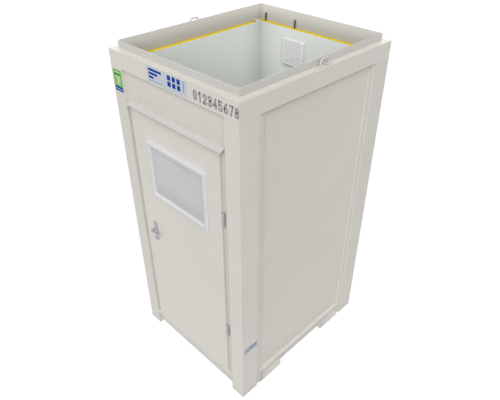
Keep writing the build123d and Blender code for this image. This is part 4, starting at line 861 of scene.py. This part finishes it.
vent = {"mat": (183, 183), "matRound": 8.0, "matLow": 8.0, "matHigh": 15.5, "matEdge": 2.0,
        "tones": ("#F4F4F2", "#E2E2E0")}
filterMat = plate(ventWall, (0, 0), vent["mat"], vent["matRound"], vent["matLow"], vent["matHigh"],
                  vent["matEdge"])
makePiece("filter_mat", [filterMat], "cabin", "white_plastic", mineralWool("filter_fleece", *vent["tones"]))
print("ventilator dressed")


# Power inlets: a sprung lid over each collar

lids = {
    "at": [(489, 2434.5), (190, 2434.5)], "radius": 33.0, "facets": 40,
    "low": 18.0, "high": 27.0, "flange": 6.0,                          # over the rear face, mm
    "edge": 3.0, "dome": 2.0, "shoulder": (0.6, 0.7), "tip": 0.1,      # shares of the radius and the dome
    "hingeUp": 37.0, "hinge": (28, 14), "hingeRound": 4.0, "hingeEdge": 2.0,
}


def inletLid(spot):
    # a turned lid with a softened rim and a low dome, and the hinge block over it
    rim, high, edge, dome = lids["radius"], lids["high"], lids["edge"], lids["dome"]
    soft = edge / 3
    inward, upward = lids["shoulder"]
    profile = [(rim, lids["low"]), (rim, high - edge), (rim - soft, high - soft), (rim - edge, high),
               (rim * inward, high + dome * upward), (rim * lids["tip"], high + dome)]
    hinge = plate(rear, (spot[0], spot[1] + lids["hingeUp"]), lids["hinge"], lids["hingeRound"],
                  lids["flange"], high - soft, lids["hingeEdge"])
    return [turned(rear, spot, profile, lids["facets"]), hinge]


lidParts = [part for spot in lids["at"] for part in inletLid(spot)]
makePiece("inlet_lids", lidParts, "cabin", "blue_plastic")
print("inlet lids:", len(lids["at"]))


# Weld beads at the roof mitres and on the post heads, and sealant in the room's corners

welds = {
    "wide": 5.0, "high": 0.8, "ripple": 0.12, "rippleMm": 7.0, "arc": 7, "sharpAngle": 60,
    "flange": 2491, "outer": (599, 699), "kerb": (554, 654),       # the mitre's height and two ends, mm
    "postInner": (482, 546),                                       # where the welds on the heads stop
}
weldProfile = [(welds["wide"] / 2 * math.cos(a), welds["high"] * math.sin(a))
               for a in np.linspace(0, math.pi, welds["arc"])]
mitreUp, headUp = welds["flange"], postHigh.z
(outerX, outerY), (kerbX, kerbY), (innerX, innerY) = welds["outer"], welds["kerb"], welds["postInner"]
weldParts = []
for sideX in (-1, 1):
    for sideY in (-1, 1):
        corner = np.array([sideX, sideY, 1])
        square = np.array([-sideY, sideX, 0]) / math.sqrt(2)
        runs = [
            ((outerX, outerY, mitreUp), (kerbX, kerbY, mitreUp), square, (0, 0, 1)),
            ((innerX, postHigh.y, headUp), (outerX, postHigh.y, headUp), (0, 0, 1), (0, sideY, 0)),
            ((postHigh.x, outerY, headUp), (postHigh.x, innerY, headUp), (0, 0, 1), (sideX, 0, 0)),
        ]
        weldParts += [bead(start * corner, end * corner, sideWay, outWay, weldProfile, welds["ripple"],
                           welds["rippleMm"]) for start, end, sideWay, outWay in runs]
makePiece("weld_beads", weldParts, "cabin", "painted_steel", sharpAngle=welds["sharpAngle"])

sealant = {"round": 5.0, "arc": 5, "basinInset": 2.0, "doorX": (-432, 397), "tones": ("#E9EAE8", "#DFE1DF"),
           "rough": 0.5, "grainMm": 4.0, "sharpAngle": 60}
cornerProfile = [(0, 0)] + [(sealant["round"] * math.cos(a), sealant["round"] * math.sin(a))
                            for a in np.linspace(0, math.pi / 2, sealant["arc"])]
wallX, wallY = -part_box("wall_lining_left")[1].x / mm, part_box("wall_lining_rear")[0].y / mm
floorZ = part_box("floor_covering")[1].z / mm
basinLow, basinHigh = (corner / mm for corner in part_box("wash_basin"))
basinStart, basinEnd = basinLow.y + sealant["basinInset"], basinHigh.y - sealant["basinInset"]
sealRuns = [
    *[((sideX * wallX, -wallY, floorZ), (sideX * wallX, wallY, floorZ), (-sideX, 0, 0)) for sideX in (-1, 1)],
    ((-wallX, wallY, floorZ), (wallX, wallY, floorZ), (0, -1, 0)),
    ((-wallX, -wallY, floorZ), (sealant["doorX"][0], -wallY, floorZ), (0, 1, 0)),
    ((sealant["doorX"][1], -wallY, floorZ), (wallX, -wallY, floorZ), (0, 1, 0)),
    ((wallX, basinStart, basinHigh.z), (wallX, basinEnd, basinHigh.z), (-1, 0, 0)),
]
sealParts = [bead(start, end, sideWay, (0, 0, 1), cornerProfile) for start, end, sideWay in sealRuns]
silicone = mouldedPlastic("silicone_white", *sealant["tones"], sealant["rough"], sealant["grainMm"])
makePiece("sealant_beads", sealParts, "cabin", "white_plastic", silicone, sealant["sharpAngle"])
print("beads:", len(weldParts), "welds and", len(sealParts), "sealant runs")


# Basin strainer

strainer = {
    "rim": 20.0, "rimHigh": 0.8, "edge": 1.5, "high": 1.6, "dish": 13.0, "dishHigh": 1.28, "slope": 2.0,
    "bottom": 0.3, "middle": 0.5, "holes": 6, "holeRing": 7.5, "holeRadius": 2.2, "holeLevels": (0.1, 0.4),
    "holeMiddle": 0.3, "holeFacets": 12,
}
rim, dish, bottom = strainer["rim"], strainer["dish"], strainer["bottom"]
dishProfile = [(rim, 0.0), (rim, strainer["rimHigh"]), (rim - strainer["edge"], strainer["high"]),
               (dish, strainer["dishHigh"]), (dish - strainer["slope"], bottom), (strainer["middle"], bottom)]
makePiece("basin_strainer", [turned(basinFloor, (0, 0), dishProfile)], "cabin", "chromed_brass")
# the holes are dark discs on the dish: painted shade standing in for open holes
holeTurn = np.arange(strainer["holes"]) * 2 * math.pi / strainer["holes"]
holeSpots = np.stack([np.cos(holeTurn), np.sin(holeTurn)], 1) * strainer["holeRing"]
holeLow, holeHigh = strainer["holeLevels"]
holeShape = [(strainer["holeRadius"], holeLow), (strainer["holeRadius"], holeHigh),
             (strainer["holeMiddle"], holeHigh)]
holes = [turned(basinFloor, spot, holeShape, strainer["holeFacets"]) for spot in holeSpots]
makePiece("strainer_holes", holes, "cabin", "seal_rubber")
print("basin strainer set")
